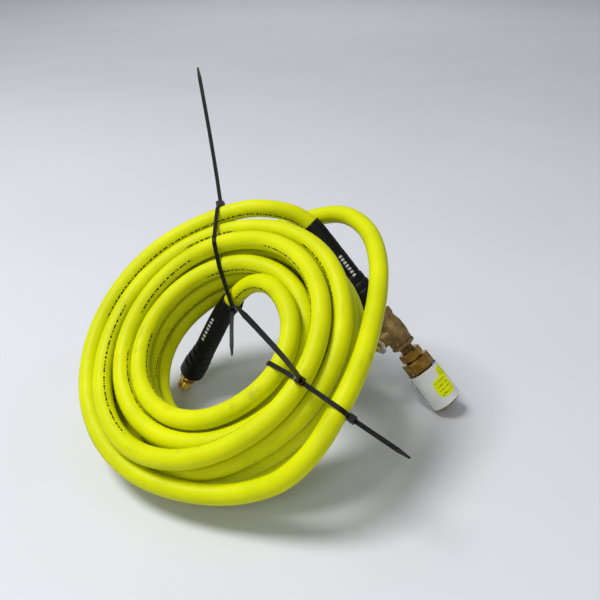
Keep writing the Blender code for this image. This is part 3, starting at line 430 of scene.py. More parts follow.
# %% [markdown]
# ## Finishes
# Each finish is one node material on the principled shader. No real surface has one colour and one gloss
# all over: noise spreads the colour in soft patches, a finer noise varies the roughness, and a little
# bump breaks up the highlights. Pictures could give this too, but noise fits any shape and needs no file.

# %% Nodes for a finish
def finish(name, roughness, metallic, **sockets):
    """A new material. Numbers that are the same all over stay on the shader's own sockets."""
    material = bpy.data.materials.new(name)
    material.use_nodes = True
    tree = material.node_tree
    shader = tree.nodes["Principled BSDF"]
    for socket, value in {"Roughness": roughness, "Metallic": metallic, **sockets}.items():
        shader.inputs[socket.replace("_", " ")].default_value = value
    return material, tree, shader


def node(tree, kind, **values):
    """A node with its inputs or settings given by name."""
    made = tree.nodes.new(kind)
    for key, value in values.items():
        if key in made.inputs:
            made.inputs[key].default_value = value
        else:
            setattr(made, key, value)
    return made


def noise(tree, scale, detail=3.0, roughness=0.5, vector=None):
    made = node(tree, "ShaderNodeTexNoise", Scale=scale, Detail=detail, Roughness=roughness)
    if vector is None:
        vector = node(tree, "ShaderNodeTexCoord").outputs["Object"]
    tree.links.new(vector, made.inputs["Vector"])
    return made.outputs["Fac"]


def ramp(tree, value, stops):
    """Colours by a value: each stop is a place from 0 to 1 and a colour."""
    made = node(tree, "ShaderNodeValToRGB")
    band = made.color_ramp
    while len(band.elements) < len(stops):
        band.elements.new(0.5)
    for element, (place, colour) in zip(band.elements, stops):
        element.position = place
        element.color = (*colour, 1.0)
    tree.links.new(value, made.inputs["Fac"])
    return made.outputs["Color"]


def span(tree, value, *limits):
    """Stretches a value: from least and most, to least and most."""
    made = node(tree, "ShaderNodeMapRange")
    for socket, number in zip(("From Min", "From Max", "To Min", "To Max"), limits):
        made.inputs[socket].default_value = number
    tree.links.new(value, made.inputs["Value"])
    return made.outputs["Result"]


print("node helpers: finish, node, noise, ramp, span")

# %% [markdown]
# ## Black nylon
# The cable ties are moulded nylon: nearly black, with the soft shine of a smooth mould. A single dark
# colour would look like a hole in the picture, so it has faint patches and a fine grain. The same recipe,
# with other numbers, makes every plain finish here, so it is a function, and a finish may lay marks over
# its patches.

# %% Black nylon
NOISE_LOW, NOISE_HIGH = 0.3, 0.7


def mottled(name, patches, colours, rough, gloss=None, grain=None, metallic=0.0, cover=None, **sockets):
    """patches and gloss are a noise's scale and detail; grain is a noise, a bump depth and its strength."""
    material, tree, shader = finish(name, rough[1] if gloss else rough, metallic, **sockets)
    colour = ramp(tree, noise(tree, *patches), colours)
    if cover:
        colour = cover(tree, colour)
    tree.links.new(colour, shader.inputs["Base Color"])
    if gloss:
        varied = span(tree, noise(tree, *gloss), NOISE_LOW, NOISE_HIGH, *rough)
        tree.links.new(varied, shader.inputs["Roughness"])
    if grain:
        grain_noise, depth, strength = grain
        bump = node(tree, "ShaderNodeBump", Strength=strength, Distance=depth)
        tree.links.new(noise(tree, *grain_noise), bump.inputs["Height"])
        tree.links.new(bump.outputs["Normal"], shader.inputs["Normal"])
    print("finish", name, "of", len(tree.nodes), "nodes")
    return material


black_nylon = mottled(
    "black_nylon", (200.0, 4.0), [(0.3, (0.0018, 0.0018, 0.0020)), (0.8, (0.0050, 0.0050, 0.0054))],
    rough=(0.24, 0.40), gloss=(500.0, 3.0), grain=((1200.0, 2.0), 0.00006, 0.25), Specular_IOR_Level=0.26)

# %% [markdown]
# ## Black rubber
# The bend restrictors are matt black rubber with a row of plain white bars along one side. The bars could
# be small pieces of mesh, but paint has no thickness worth modelling: they are drawn on a map of the
# sleeve's own length and girth, where sums on the two directions say what lies inside a bar.

# %% Black rubber
MARK_AT = 0.0500            # middle of the row on the sleeve's map
MARK_LONG = 0.0238
MARK_PITCH = 0.0034
MARK_SHARE = 0.30           # half a bar, as a share of the pitch
MARK_HALF = 0.026           # half a bar's height, as a share of the girth
MARK_WHITE = (0.50, 0.50, 0.49)


def feed(tree, made, *values):
    """Gives a node its inputs in order, each a socket to link or a plain number."""
    for socket, value in zip(made.inputs, values):
        if isinstance(value, bpy.types.NodeSocket):
            tree.links.new(value, socket)
        else:
            socket.default_value = value
    return made


def sums(tree, how, *values):
    return feed(tree, node(tree, "ShaderNodeMath", operation=how), *values).outputs["Value"]


def both(tree, first, *others):
    """One where all of the values are one."""
    for other in others:
        first = sums(tree, "MULTIPLY", first, other)
    return first


def mapped(tree, name):
    """The two directions of a piece's own map."""
    split = node(tree, "ShaderNodeSeparateXYZ")
    tree.links.new(node(tree, "ShaderNodeUVMap", uv_map=name).outputs["UV"], split.inputs["Vector"])
    return split.outputs["X"], split.outputs["Y"]


def mix(tree, factor, first, second):
    """Lays a plain colour over another by a factor."""
    made = node(tree, "ShaderNodeMix", data_type="RGBA")
    slots = {socket.name: socket for socket in made.inputs if socket.enabled}
    tree.links.new(factor, slots["Factor"])
    tree.links.new(first, slots["A"])
    slots["B"].default_value = (*second, 1.0)
    return next(socket for socket in made.outputs if socket.enabled)


def white_bars(tree, rubber):
    back, girth = mapped(tree, "sleeve_map")
    in_row = sums(tree, "COMPARE", back, MARK_AT, MARK_LONG / 2)
    on_side = sums(tree, "COMPARE", sums(tree, "FRACT", girth), 0.5, MARK_HALF)
    in_pitch = sums(tree, "FRACT", sums(tree, "DIVIDE", back, MARK_PITCH))
    in_bar = sums(tree, "COMPARE", in_pitch, 0.5, MARK_SHARE)
    return mix(tree, both(tree, in_row, on_side, in_bar), rubber, MARK_WHITE)


black_rubber = mottled(
    "black_rubber", (120.0, 6.0), [(0.3, (0.0018, 0.0018, 0.0020)), (0.75, (0.0060, 0.0060, 0.0064))],
    rough=(0.40, 0.58), gloss=(300.0, 4.0), grain=((1400.0, 3.0), 0.0001, 0.3), cover=white_bars,
    Specular_IOR_Level=0.20)

# %% [markdown]
# ## Lime jacket
# The hose's jacket is a soft lime plastic, scuffed where it has been dragged, with thin grime in streaks
# and a line of ink dashes along it. Paint strokes on a picture would do, but the hose is over seven
# metres long. So the scuffs come from noise in space, and streaks and dashes from noise on a map of the
# hose's length and girth.

# %% Lime jacket
LIME = (0.665, 0.697, 0.0008)
LIME_DEEP = (0.540, 0.590, 0.0005)
SCUFF = (0.330, 0.300, 0.020)
GRIME = (0.210, 0.200, 0.012)
INK = (0.012, 0.013, 0.010)
STREAK_ALONG, STREAK_ROUND = 16.0, 5.0      # streaks are longer along the hose than round it
PRINT_HALF = 0.014          # half the dashes' height, as a share of the girth


def flat_map(tree, x, y=0.0):
    """A vector from one or two values, for a noise to lie on."""
    return feed(tree, node(tree, "ShaderNodeCombineXYZ"), x, y).outputs["Vector"]


def wear_and_print(tree, lime):
    scuffs = span(tree, noise(tree, 38.0, 9.0, 0.68), 0.61, 0.78, 0.0, 0.75)
    worn = mix(tree, scuffs, lime, SCUFF)
    length, girth = mapped(tree, "hose_map")
    streak_run = sums(tree, "MULTIPLY", length, STREAK_ALONG)
    streak_turn = sums(tree, "MULTIPLY", girth, STREAK_ROUND)
    drawn_out = flat_map(tree, streak_run, streak_turn)
    streaks = span(tree, noise(tree, 1.0, 8.0, 0.62, drawn_out), 0.60, 0.80, 0.0, 0.55)
    grimy = mix(tree, streaks, worn, GRIME)
    along_only = flat_map(tree, length)
    dashes = span(tree, noise(tree, 420.0, 1.0, 0.5, along_only), 0.47, 0.50, 0.0, 1.0)
    stretches = span(tree, noise(tree, 9.0, 0.0, 0.5, along_only), 0.46, 0.48, 0.0, 1.0)
    on_line = sums(tree, "COMPARE", sums(tree, "FRACT", girth), 0.5, PRINT_HALF)
    return mix(tree, both(tree, dashes, stretches, on_line), grimy, INK)


hose_lime = mottled(
    "hose_lime", (18.0, 4.0), [(0.35, LIME_DEEP), (0.65, LIME)],
    rough=(0.36, 0.52), gloss=(160.0, 5.0), grain=((900.0, 2.0), 0.00012, 0.35), cover=wear_and_print,
    Specular_IOR_Level=0.12)


# %% [markdown]
# ## Brass
# The fittings are turned from brass bar. Handling leaves a brown film on it that is thin in some places
# and thick in others, so bright metal shows through in patches. A wear mask along the edges could be
# painted, but a soft noise with three colours gives the same look on every fitting: one set for clean
# brass, a darker one for old brass.

# %% Turned brass
def turned_brass(name, colours, rough):
    return mottled(name, (140.0, 4.0), list(zip((0.30, 0.50, 0.70), colours)), rough, gloss=(420.0, 5.0),
                   grain=((1500.0, 2.0), 0.00008, 0.25), metallic=1.0)


machined_brass = turned_brass(
    "machined_brass", [(0.42, 0.245, 0.042), (0.66, 0.43, 0.090), (0.86, 0.62, 0.18)], (0.12, 0.30))
tarnished_brass = turned_brass(
    "tarnished_brass", [(0.210, 0.105, 0.016), (0.42, 0.235, 0.040), (0.66, 0.42, 0.090)], (0.12, 0.34))

# %% [markdown]
# ## Cast brass
# The valve's body keeps the skin that it got in the die, so it is dull, brown and rough. Full metal would
# mirror the room; a lower metallic value and a deep coarse grain make it look oxidised.

# %% Cast brass
cast_brass = mottled(
    "cast_brass", (110.0, 8.0, 0.65),
    [(0.28, (0.080, 0.047, 0.016)), (0.50, (0.250, 0.160, 0.058)), (0.74, (0.430, 0.300, 0.120))],
    rough=(0.40, 0.66), gloss=(350.0, 5.0), grain=((700.0, 6.0, 0.6), 0.0003, 0.55), metallic=0.70)

# %% [markdown]
# ## Steel, chrome, polymer and paper
# The lever and the springs are plated steel, the ball is chromed, its seats are white polymer and the
# label is paper. Most of this is hidden or small, so the short recipe is enough: patches for all of them,
# a varied gloss for the steel, and a fibrous grain for the paper.

# %% Steel, chrome, polymer and paper
plated_steel = mottled(
    "plated_steel", (90.0, 6.0), [(0.3, (0.42, 0.42, 0.41)), (0.7, (0.66, 0.66, 0.65))],
    rough=(0.20, 0.40), gloss=(260.0, 5.0), metallic=1.0)
bright_chrome = mottled(
    "bright_chrome", (60.0, 3.0), [(0.3, (0.62, 0.62, 0.63)), (0.7, (0.74, 0.74, 0.75))],
    rough=0.10, metallic=1.0)
white_polymer = mottled(
    "white_polymer", (150.0, 3.0), [(0.3, (0.74, 0.74, 0.71)), (0.7, (0.84, 0.84, 0.82))], rough=0.50)
white_paper = mottled(
    "white_paper", (60.0, 5.0), [(0.3, (0.70, 0.70, 0.71)), (0.7, (0.80, 0.80, 0.81))], rough=0.62,
    grain=((900.0, 4.0), 0.0001, 0.3))

# %% [markdown]
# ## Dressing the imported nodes
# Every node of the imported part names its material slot, so one table from slot to finish dresses them
# all. The crimped ferrules show only as a thin rim at the restrictors' mouths; there they look like
# brass, and get its finish.

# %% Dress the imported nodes
CAD_FINISH = {
    "hose": hose_lime, "rubber": black_rubber, "nylon": black_nylon, "brass": tarnished_brass,
    "cast": cast_brass, "steel": plated_steel, "chrome": bright_chrome, "seat": white_polymer,
    "paper": white_paper,
}
FERRULES = ("inner_ferrule", "outer_ferrule")
slot_of = {row["node"]: row["material_slot"] for row in frame["record"]["subparts"]}
for name, part in nodes.items():
    part.data.materials.clear()
    part.data.materials.append(machined_brass if name in FERRULES else CAD_FINISH[slot_of[name]])
print("dressed", len(nodes), "nodes")


# %% [markdown]
# ## Pieces from points
# Each piece is a mesh made from lists of points and faces, because turned, wound and folded metal is easy
# to say in numbers and hard to push into shape with a mouse. One function makes the object, smooths it
# but for its sharp edges, and tells the frame which body it rides on and which nodes it stands for. No
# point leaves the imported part's box.

# %% Pieces
def placed(shape, matrix):
    """A shape moved from its own frame into the part's."""
    points, corners = shape
    turn = np.array(matrix.to_3x3())
    return np.asarray(points) @ turn.T + np.array(matrix.translation), corners


def piece(name, shapes, material, body, *replaced, at=None, sharp=35.0, bevel=0.0):
    """One object from a list of (points, faces); at is the frame that they are given in."""
    verts, faces = [], []
    for shape in shapes:
        points, corners = placed(shape, at) if at else shape
        faces += [tuple(len(verts) + i for i in face) for face in corners]
        verts += [tuple(point) for point in np.clip(points, cad_low, cad_high)]
    mesh = bpy.data.meshes.new(name)
    mesh.from_pydata(verts, [], faces)
    mesh.update()
    mesh.shade_smooth()
    mesh.set_sharp_from_angle(angle=math.radians(sharp))
    mesh.materials.append(material)
    made = bpy.data.objects.new(name, mesh)
    bpy.context.scene.collection.objects.link(made)
    if bevel:
        rounding = made.modifiers.new("rounding", "BEVEL")
        rounding.width = bevel
        rounding.segments = 2
        rounding.angle_limit = math.radians(40.0)
    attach(made, body)
    if replaced:
        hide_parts(*replaced)
    print("piece", name, "with", len(faces), "faces")
    return made


def loft(rings, flip=False, joined=False):
    """Faces between rings of points, with capped ends or joined ones; flip turns the faces over."""
    rings = np.asarray(rings)
    count, n = rings.shape[:2]
    corners = []
    for i in range(count if joined else count - 1):
        a, b = i * n, (i + 1) % count * n
        for k in range(n):
            after = (k + 1) % n
            quad = (a + k, b + k, b + after, a + after)
            corners.append(quad if flip else (quad[0], quad[3], quad[2], quad[1]))
    if not joined:
        start, stop = tuple(range(n)), tuple(range((count - 1) * n, count * n))
        corners += [start, stop[::-1]] if flip else [start[::-1], stop]
    return rings.reshape(-1, 3), corners


print("mesh helpers: placed, piece, loft")

# %% [markdown]
# ## The hose
# A curve with a round bevel would make a tube at once, but a mesh tube can lie flat where it rests on the
# table, and can carry a map of its length and girth. So rings are set square to the line and joined.
# Their sides are carried from ring to ring with as little twist as they can have.

# %% Hose tube
HOSE_SIDES = 24
UPRIGHT = 0.9               # a line as upright as this starts with another side


def side_frames(line):
    """Two directions across a line at each of its points, turning as little as they can."""
    ways = np.gradient(line, axis=0)
    ways /= np.linalg.norm(ways, axis=1)[:, None]
    first = np.cross(ways[0], (0.0, 0.0, 1.0) if abs(ways[0][2]) < UPRIGHT else (1.0, 0.0, 0.0))
    sides = [first / np.linalg.norm(first)]
    for way in ways[1:]:
        side = sides[-1] - np.dot(sides[-1], way) * way
        sides.append(side / np.linalg.norm(side))
    sides = np.array(sides)
    return sides, np.cross(ways, sides)


def ring_points(centres, sides, ups, radius, count):
    """Rings of points about centres; radius is one number, or one for each point."""
    turn = 2 * np.pi * np.arange(count) / count
    spokes = np.cos(turn)[None, :, None] * sides[:, None] + np.sin(turn)[None, :, None] * ups[:, None]
    return centres[:, None] + radius * spokes


def swept(line, radius, count):
    """A round rod along a line."""
    sides, ups = side_frames(line)
    return loft(ring_points(line, sides, ups, radius, count))


air_hose = piece("air_hose", [swept(hose_line, HOSE_R, HOSE_SIDES)], hose_lime, "hose", "hose_coil",
                 "hose_inner_tail", "hose_outer_tail", sharp=70.0)

# %% [markdown]
# ## The line of ink
# The ink dashes run along one side of the hose, and wander as the hose twists in the coil. The map's
# middle is that side, so the map has to turn with the line of ink. A short plan gives its angle at places
# along the hose, measured from the coil's axis towards its middle, and a slow wave is added.

# %% Map of the hose
PRINT_PLAN = [              # metres along the hose, degrees
    (0.0, 60.0), (0.85, 60.0), (1.05, 150.0), (2.0, 150.0), (2.2, 62.0), (6.1, 62.0), (6.3, 190.0),
    (6.85, 190.0), (7.05, 75.0),
]
PRINT_WANDER = 16.0         # degrees
PRINT_WAVE = 2.6            # radians of that wave for each metre


def girth_map(made, name, along, turned, count):
    """A tube's map: its length, and its girth with 0.5 at the share of a turn given for each ring."""
    layer = made.data.uv_layers.new(name=name)
    for face in made.data.polygons[:(len(along) - 1) * count]:
        step = face.index % count
        for loop, vertex in zip(face.loop_indices, face.vertices):
            ring, spot = divmod(vertex, count)
            share = (step + (spot - step) % count) / count
            layer.data[loop].uv = (along[ring], share - turned[ring] + 0.5)


plan_at, plan_lean = np.array(PRINT_PLAN).T
lean = np.radians(np.interp(hose_run, plan_at, plan_lean) + PRINT_WANDER * np.sin(PRINT_WAVE * hose_run))
print_way = np.cos(lean)[:, None] * axis_way - np.sin(lean)[:, None] * away_from_axis(hose_line)
sides, ups = side_frames(hose_line)
print_turn = np.unwrap(np.arctan2((print_way * ups).sum(axis=1), (print_way * sides).sum(axis=1)))
girth_map(air_hose, "hose_map", hose_run, print_turn / (2 * np.pi), HOSE_SIDES)
print("hose %.3f m, mapped" % hose_run[-1])

# %% [markdown]
# ## Bend restrictors
# Each hose end wears a black rubber sleeve that keeps it from kinking at the crimp. It is moulded thinner
# at its tail, and steps up in soft ribs to a wide mouth. A lathed sleeve with a curve modifier would
# stretch its ribs, so the profile is swept along the hose's own line. Seeded dice place small creases in
# it.

# %% Sleeve profile
TAIL_R = HOSE_R + 0.0015
BODY_R = HOSE_R + 0.0019
MOUTH_R = HOSE_R + 0.0040
SLEEVE_FRONT = 0.0010
SLEEVE_STEP = 0.0012
SLEEVE_SIDES = 48
CREASES = 14
CREASED_R = HOSE_R + 0.0009     # the lips inside this radius have no creases
SLEEVE_SHAPE = [                # distance back from the hose's end face, radius
    (0.0915, HOSE_R - 0.0004), (0.0915, TAIL_R - 0.0007), (0.0911, TAIL_R - 0.0002), (0.0902, TAIL_R),
    (0.0700, TAIL_R + 0.0002), (0.0560, BODY_R - 0.0001), (0.0400, BODY_R), (0.0322, BODY_R),
    (0.0310, BODY_R - 0.0004), (0.0296, BODY_R + 0.0006), (0.0240, BODY_R + 0.0007),
    (0.0228, BODY_R + 0.0002), (0.0214, BODY_R + 0.0013), (0.0166, BODY_R + 0.0014),
    (0.0154, BODY_R + 0.0009), (0.0140, MOUTH_R - 0.0001), (0.0040, MOUTH_R), (-0.0001, MOUTH_R - 0.0001),
    (-0.0008, MOUTH_R - 0.0005), (-SLEEVE_FRONT, MOUTH_R - 0.0012), (-SLEEVE_FRONT, 0.0100),
    (-0.0004, 0.0096), (0.0005, 0.0092), (0.0005, 0.0060),
]

fine_shape = [SLEEVE_SHAPE[0]]
for (a_at, a_r), (b_at, b_r) in zip(SLEEVE_SHAPE, SLEEVE_SHAPE[1:]):
    steps = max(1, int(abs(a_at - b_at) / SLEEVE_STEP))
    for i in range(1, steps + 1):
        fine_shape.append((a_at + (b_at - a_at) * i / steps, a_r + (b_r - a_r) * i / steps))
stations, radii = np.array(fine_shape).T


def creases(seed):
    """How far each point of a sleeve is pressed in, as a negative height."""
    dice = np.random.default_rng(seed)
    turn = 2 * np.pi * np.arange(SLEEVE_SIDES) / SLEEVE_SIDES
    pressed = np.zeros((len(stations), SLEEVE_SIDES))
    for _ in range(CREASES):
        at = dice.uniform(0.012, 0.080)
        reach = dice.uniform(0.0012, 0.0035)
        slant = dice.uniform(-0.0025, 0.0025)
        deepest = dice.uniform(0, 2 * np.pi)
        depth = dice.uniform(0.00006, 0.00018)
        crease = np.exp(-((stations[:, None] - at - slant * np.cos(turn)[None]) / reach) ** 2)
        pressed -= depth * crease * (0.5 + 0.5 * np.cos(turn - deepest))[None]
    pressed[radii < CREASED_R] = 0.0
    return pressed


print("sleeve of", len(stations), "rings")

# %% [markdown]
# ## Sleeves on the hose
# Both sleeves are the same moulding, at opposite ends of the line. One mesh could be bent twice by a
# curve modifier, but here each ring takes its direction from the hose under it, and the mouth, which
# stands past the hose's end face, goes on straight. The map's middle is the side with the white bars.

# %% Sleeves
SLEEVE_LONG = 0.09
SLEEVE_FRAMES = 60
SLEEVE_POINTS = 40          # points of the hose's line that a sleeve needs


def restrictor(name, line, replaced, seed, mark_at, mark_degrees):
    """line starts at the hose's end face and runs back along the hose."""
    run = run_along(line)
    centres = at_run(line, run, stations)
    front = stations < 0
    out = (line[0] - line[1]) / np.linalg.norm(line[0] - line[1])
    centres[front] = line[0] + np.outer(-stations[front], out)
    sides, ups = side_frames(at_run(line, run, np.linspace(0, SLEEVE_LONG, SLEEVE_FRAMES)))
    last = SLEEVE_FRAMES - 1
    at_ring = np.clip((stations / SLEEVE_LONG * last).astype(int), 0, last)
    radius = (radii[:, None] + creases(seed))[:, :, None]
    rings = ring_points(centres, sides[at_ring], ups[at_ring], radius, SLEEVE_SIDES)
    made = piece(name, [loft(rings, flip=True)], black_rubber, "hose", replaced, sharp=50.0)
    turned = np.full(len(stations), mark_degrees / 360)
    girth_map(made, "sleeve_map", stations - mark_at + MARK_AT, turned, SLEEVE_SIDES)
    return made


inner_sleeve = restrictor("inner_sleeve", hose_line[:SLEEVE_POINTS], "inner_bend_restrictor",
                          seed=3, mark_at=0.0570, mark_degrees=-24.350)
outer_sleeve = restrictor("outer_sleeve", hose_line[::-1][:SLEEVE_POINTS], "outer_bend_restrictor",
                          seed=5, mark_at=0.0420, mark_degrees=-126.262)

# %% [markdown]
# ## Turned shapes
# Fittings, nuts and bushing are turned on a lathe from hexagon bar. A spin or screw modifier turns a
# profile, but a hexagon's corners and a thread aren't round. So a skin of rings is used, in which a
# ring's radius and height may differ from angle to angle: a hexagon's corners fall away to a cone, and a
# thread's ridge climbs as it goes round.

# %% Turned shapes
SEGMENTS = 72
HEX_FACE = 1.015            # radius of a hexagon's flat face, over half its width
HEX_CONE = math.tan(math.radians(32.0))
THREAD_PITCH = 0.00141
THREAD_DEPTH = 0.0006
THREAD_TAPER = 0.0004
THREAD_RINGS = 8            # rings in a pitch
THREAD_CHAMFER = 0.9        # radius for each length from the open end
THREAD_STEEP, THREAD_ROOT = 1.5, 0.2      # wear leaves flat crests and roots
theta = 2 * np.pi * np.arange(SEGMENTS) / SEGMENTS


def shell(rings):
    """A closed skin about Z. Each ring is a radius and a height: one number, or one for each angle."""
    circles = []
    for radius, height in rings:
        radius, height = np.broadcast_to(radius, theta.shape), np.broadcast_to(height, theta.shape)
        circles.append(np.stack([radius * np.cos(theta), radius * np.sin(theta), height], axis=1))
    return loft(circles, joined=True)


def collar(bore_r, outer_r, bottom, top):
    return shell([(bore_r, bottom), (outer_r, bottom), (outer_r, top), (bore_r, top)])


def hex_radius(across_flats):
    return across_flats / 2 / np.cos((theta + np.pi / 6) % (np.pi / 3) - np.pi / 6)


def hexagon(across_flats, bore_r, bottom, top):
    """A nut's hexagon: its corners are turned down to a cone at both faces."""
    edge = hex_radius(across_flats)
    face_r = np.minimum(edge, across_flats / 2 * HEX_FACE)
    drop = (edge - face_r) * HEX_CONE
    return shell([(bore_r, bottom), (face_r, bottom), (edge, bottom + drop), (edge, top - drop),
                  (face_r, top), (bore_r, top)])


def thread(start_r, bore_r, bottom, top):
    """A tapered right-hand pipe thread with worn crests, and a chamfer at its open end."""
    rings = [(bore_r, bottom)]
    for height in np.linspace(bottom, top, int((top - bottom) / THREAD_PITCH * THREAD_RINGS) + 1):
        taper = THREAD_TAPER * (height - bottom) / (top - bottom)
        ridge = np.abs((height / THREAD_PITCH - theta / (2 * np.pi)) % 1.0 * 2 - 1)
        ridge = np.clip(THREAD_STEEP * ridge - THREAD_ROOT, 0.0, 1.0)
        radius = start_r - taper - THREAD_DEPTH * (1 - ridge)
        chamfer = start_r - THREAD_TAPER - THREAD_DEPTH + THREAD_CHAMFER * (top - height)
        rings.append((np.minimum(radius, chamfer), height))
    return shell(rings + [(bore_r, top)])


print("turned shapes: shell, collar, hexagon, thread in", SEGMENTS, "segments")

# %% [markdown]
# ## Hose fittings
# A brass fitting is pressed into each hose end: a neck, two collars, a hexagon for the wrench and a pipe
# thread. Two objects could share one mesh, but each stands for a node of its own, so the shape is made
# once and placed in both end frames.

# %% Fittings
FITTING_BORE_R = 0.0030
NECK_R = 0.0050
GROOVE_R = 0.0055
FITTING_HEX = 0.0143        # width across flats
FITTING_HEX_ENDS = (0.0089, 0.0112)
FITTING_THREAD_AT = 0.0120
PIPE_R = 0.0066
FITTING_SHAPE = [           # radius, distance from the hose's end face
    (FITTING_BORE_R, 0.0010), (NECK_R, 0.0010), (NECK_R, 0.0030), (0.0069, 0.0030), (0.0071, 0.0032),
    (0.0071, 0.0050), (0.0069, 0.0052), (GROOVE_R, 0.0053), (GROOVE_R, 0.0062), (0.0072, 0.0063),
    (0.0074, 0.0065), (0.0074, 0.0078), (0.0072, 0.0080), (GROOVE_R, 0.0081), (GROOVE_R, 0.0122),
    (FITTING_BORE_R, 0.0122),
]
hose_fitting = [
    shell(FITTING_SHAPE),
    hexagon(FITTING_HEX, FITTING_BORE_R, *FITTING_HEX_ENDS),
    thread(PIPE_R, FITTING_BORE_R, FITTING_THREAD_AT, THREAD_END),
]
inner_brass = piece("inner_brass", hose_fitting, machined_brass, "hose", "inner_fitting", at=INNER,
                    bevel=0.00015)
outer_brass = piece("outer_brass", hose_fitting, machined_brass, "hose", "outer_fitting", at=OUTER,
                    bevel=0.00015)

# %% [markdown]
# ## Valve body
# The valve's body is a rough forging: wrench flats at both ends, a round middle where the ball turns, and
# a boss for the stem. Cutting a cylinder with booleans would leave knife edges. Here each ring is a blend
# of a circle and a circle cut by a hexagon, so the corners stay soft, and a raised line marks where the
# halves of the die met.

# %% Valve body
VALVE_BORE_R = 0.0070
STEM_HOLE_R = 0.0033
VALVE_MOST_R = 0.0120
FLAT_SHARE = 1.81           # width across the flats over the radius outside them
SEAM_HIGH = 0.00025
SEAM_LEAST = 0.0001         # its height at the widest place
VALVE_SHAPE = [             # distance from the hose's end face, radius, how far the flats are cut
    (0.0110, 0.0102, 1.0), (0.0113, 0.0108, 1.0), (0.0119, 0.0110, 1.0), (0.0168, 0.0110, 1.0),
    (0.0176, 0.0108, 0.7), (0.0186, 0.0102, 0.3), (0.0197, 0.0100, 0.0), (0.0213, 0.0102, 0.0),
    (0.0235, 0.0109, 0.0), (0.0258, 0.0115, 0.0), (0.0285, 0.0119, 0.0), (0.0335, 0.0120, 0.0),
    (0.0380, 0.0119, 0.0), (0.0400, 0.0116, 0.0), (0.0415, 0.0111, 0.2), (0.0425, 0.0109, 0.6),
    (0.0435, 0.0110, 1.0), (0.0452, 0.0110, 1.0), (0.0457, 0.0108, 1.0), (0.0460, 0.0103, 1.0),
]
BOSS_SHAPE = [              # radius about the stem, height up it
    (STEM_HOLE_R, 0.0090), (0.0086, 0.0090), (0.0080, 0.0108), (0.0070, 0.0120), (0.0065, 0.0133),
    (0.0064, 0.0150), (0.0064, 0.0170), (0.0060, 0.0175), (STEM_HOLE_R, 0.0175),
]
at_seam = np.isin(np.arange(SEGMENTS), (SEGMENTS // 4, 3 * SEGMENTS // 4))
seam = np.where(at_seam, SEAM_HIGH, 0.0)
body_rings = [(VALVE_BORE_R, VALVE_SHAPE[0][0])]
for height, radius, cut in VALVE_SHAPE:
    flat = np.minimum(radius, hex_radius(FLAT_SHARE * radius))
    raised = np.minimum(seam, VALVE_MOST_R - radius + SEAM_LEAST)
    body_rings.append(((1 - cut) * radius + cut * flat + raised, height))
body_rings.append((VALVE_BORE_R, VALVE_SHAPE[-1][0]))
valve_shapes = [placed(shell(body_rings), OUTER), placed(shell(BOSS_SHAPE), STEM)]
valve_casting = piece("valve_casting", valve_shapes, cast_brass, "hose", "valve_body", sharp=50.0)

# %% [markdown]
# ## Valve end piece
# The end piece screws into the body and holds the ball and its seats in. It shows a hexagon and a
# threaded tail, of the same dull brass. One lathe profile could hold all but the hexagon; here it is put
# together from the same turned shapes as the fittings.

# %% Valve end piece
TAIL_BORE_R = 0.0042
TAIL_HEX = 0.0200           # width across flats
TAIL_HEX_ENDS = (0.0463, 0.0500)
SPIGOT_R = 0.0088           # what screws into the body
SPIGOT_ENDS = (0.0440, 0.0465)
TAIL_THREAD_ENDS = (0.0505, 0.0628)
SHOULDER_SHAPE = [          # radius, distance from the hose's end face
    (TAIL_BORE_R, 0.0498), (0.0078, 0.0498), (0.0076, 0.0506), (0.0066, 0.0512), (TAIL_BORE_R, 0.0512),
]
end_piece = [
    collar(TAIL_BORE_R, SPIGOT_R, *SPIGOT_ENDS),
    hexagon(TAIL_HEX, TAIL_BORE_R, *TAIL_HEX_ENDS),
    shell(SHOULDER_SHAPE),
    thread(PIPE_R, TAIL_BORE_R, *TAIL_THREAD_ENDS),
]
valve_tail = piece("valve_tail", end_piece, cast_brass, "hose", "valve_end_piece", at=OUTER, bevel=0.00018)

# %% [markdown]
# ## Nuts on the stem
# A packing nut presses the seal round the stem and stays with the body. Above it a smaller nut holds the
# lever, and turns with it, so it rides on the handle's body. A six-sided cylinder would do for each, but
# the hexagon above also has its corners turned to a cone.

# %% Packing nut and lever nut
GLAND_HEX = 0.0110          # widths across flats
LEVER_NUT_HEX = 0.0080
GLAND_HEX_ENDS = (0.0178, 0.0202)       # heights up the stem
GLAND_NECK_ENDS = (0.0140, 0.0180)
LEVER_NUT_ENDS = (0.0224, 0.0254)
GLAND_NECK_R = 0.0046
gland = [
    hexagon(GLAND_HEX, STEM_HOLE_R, *GLAND_HEX_ENDS),
    collar(STEM_HOLE_R, GLAND_NECK_R, *GLAND_NECK_ENDS),
]
piece("gland_nut", gland, machined_brass, "hose", "packing_nut", at=STEM, bevel=0.0001)
lever_nut = [hexagon(LEVER_NUT_HEX, STEM_HOLE_R, *LEVER_NUT_ENDS)]
piece("top_nut", lever_nut, machined_brass, "valve_handle", "lever_nut", at=STEM, bevel=0.00012)

# %% [markdown]
# ## Lever
# The lever is pressed from sheet steel and plated: a round eye over the stem, a straight handle with a
# slot, and two edges folded up to stiffen it. Cutting holes in a mesh plate takes booleans. A filled 2D
# curve gives plate, holes and rounded edges at once, and its mesh is then taken over; the folds are two
# more of the same.

# %% Sheet metal
SHEET_EDGE = 0.00025        # rounding of a sheet's edges
SAME_SPOT = 1e-6


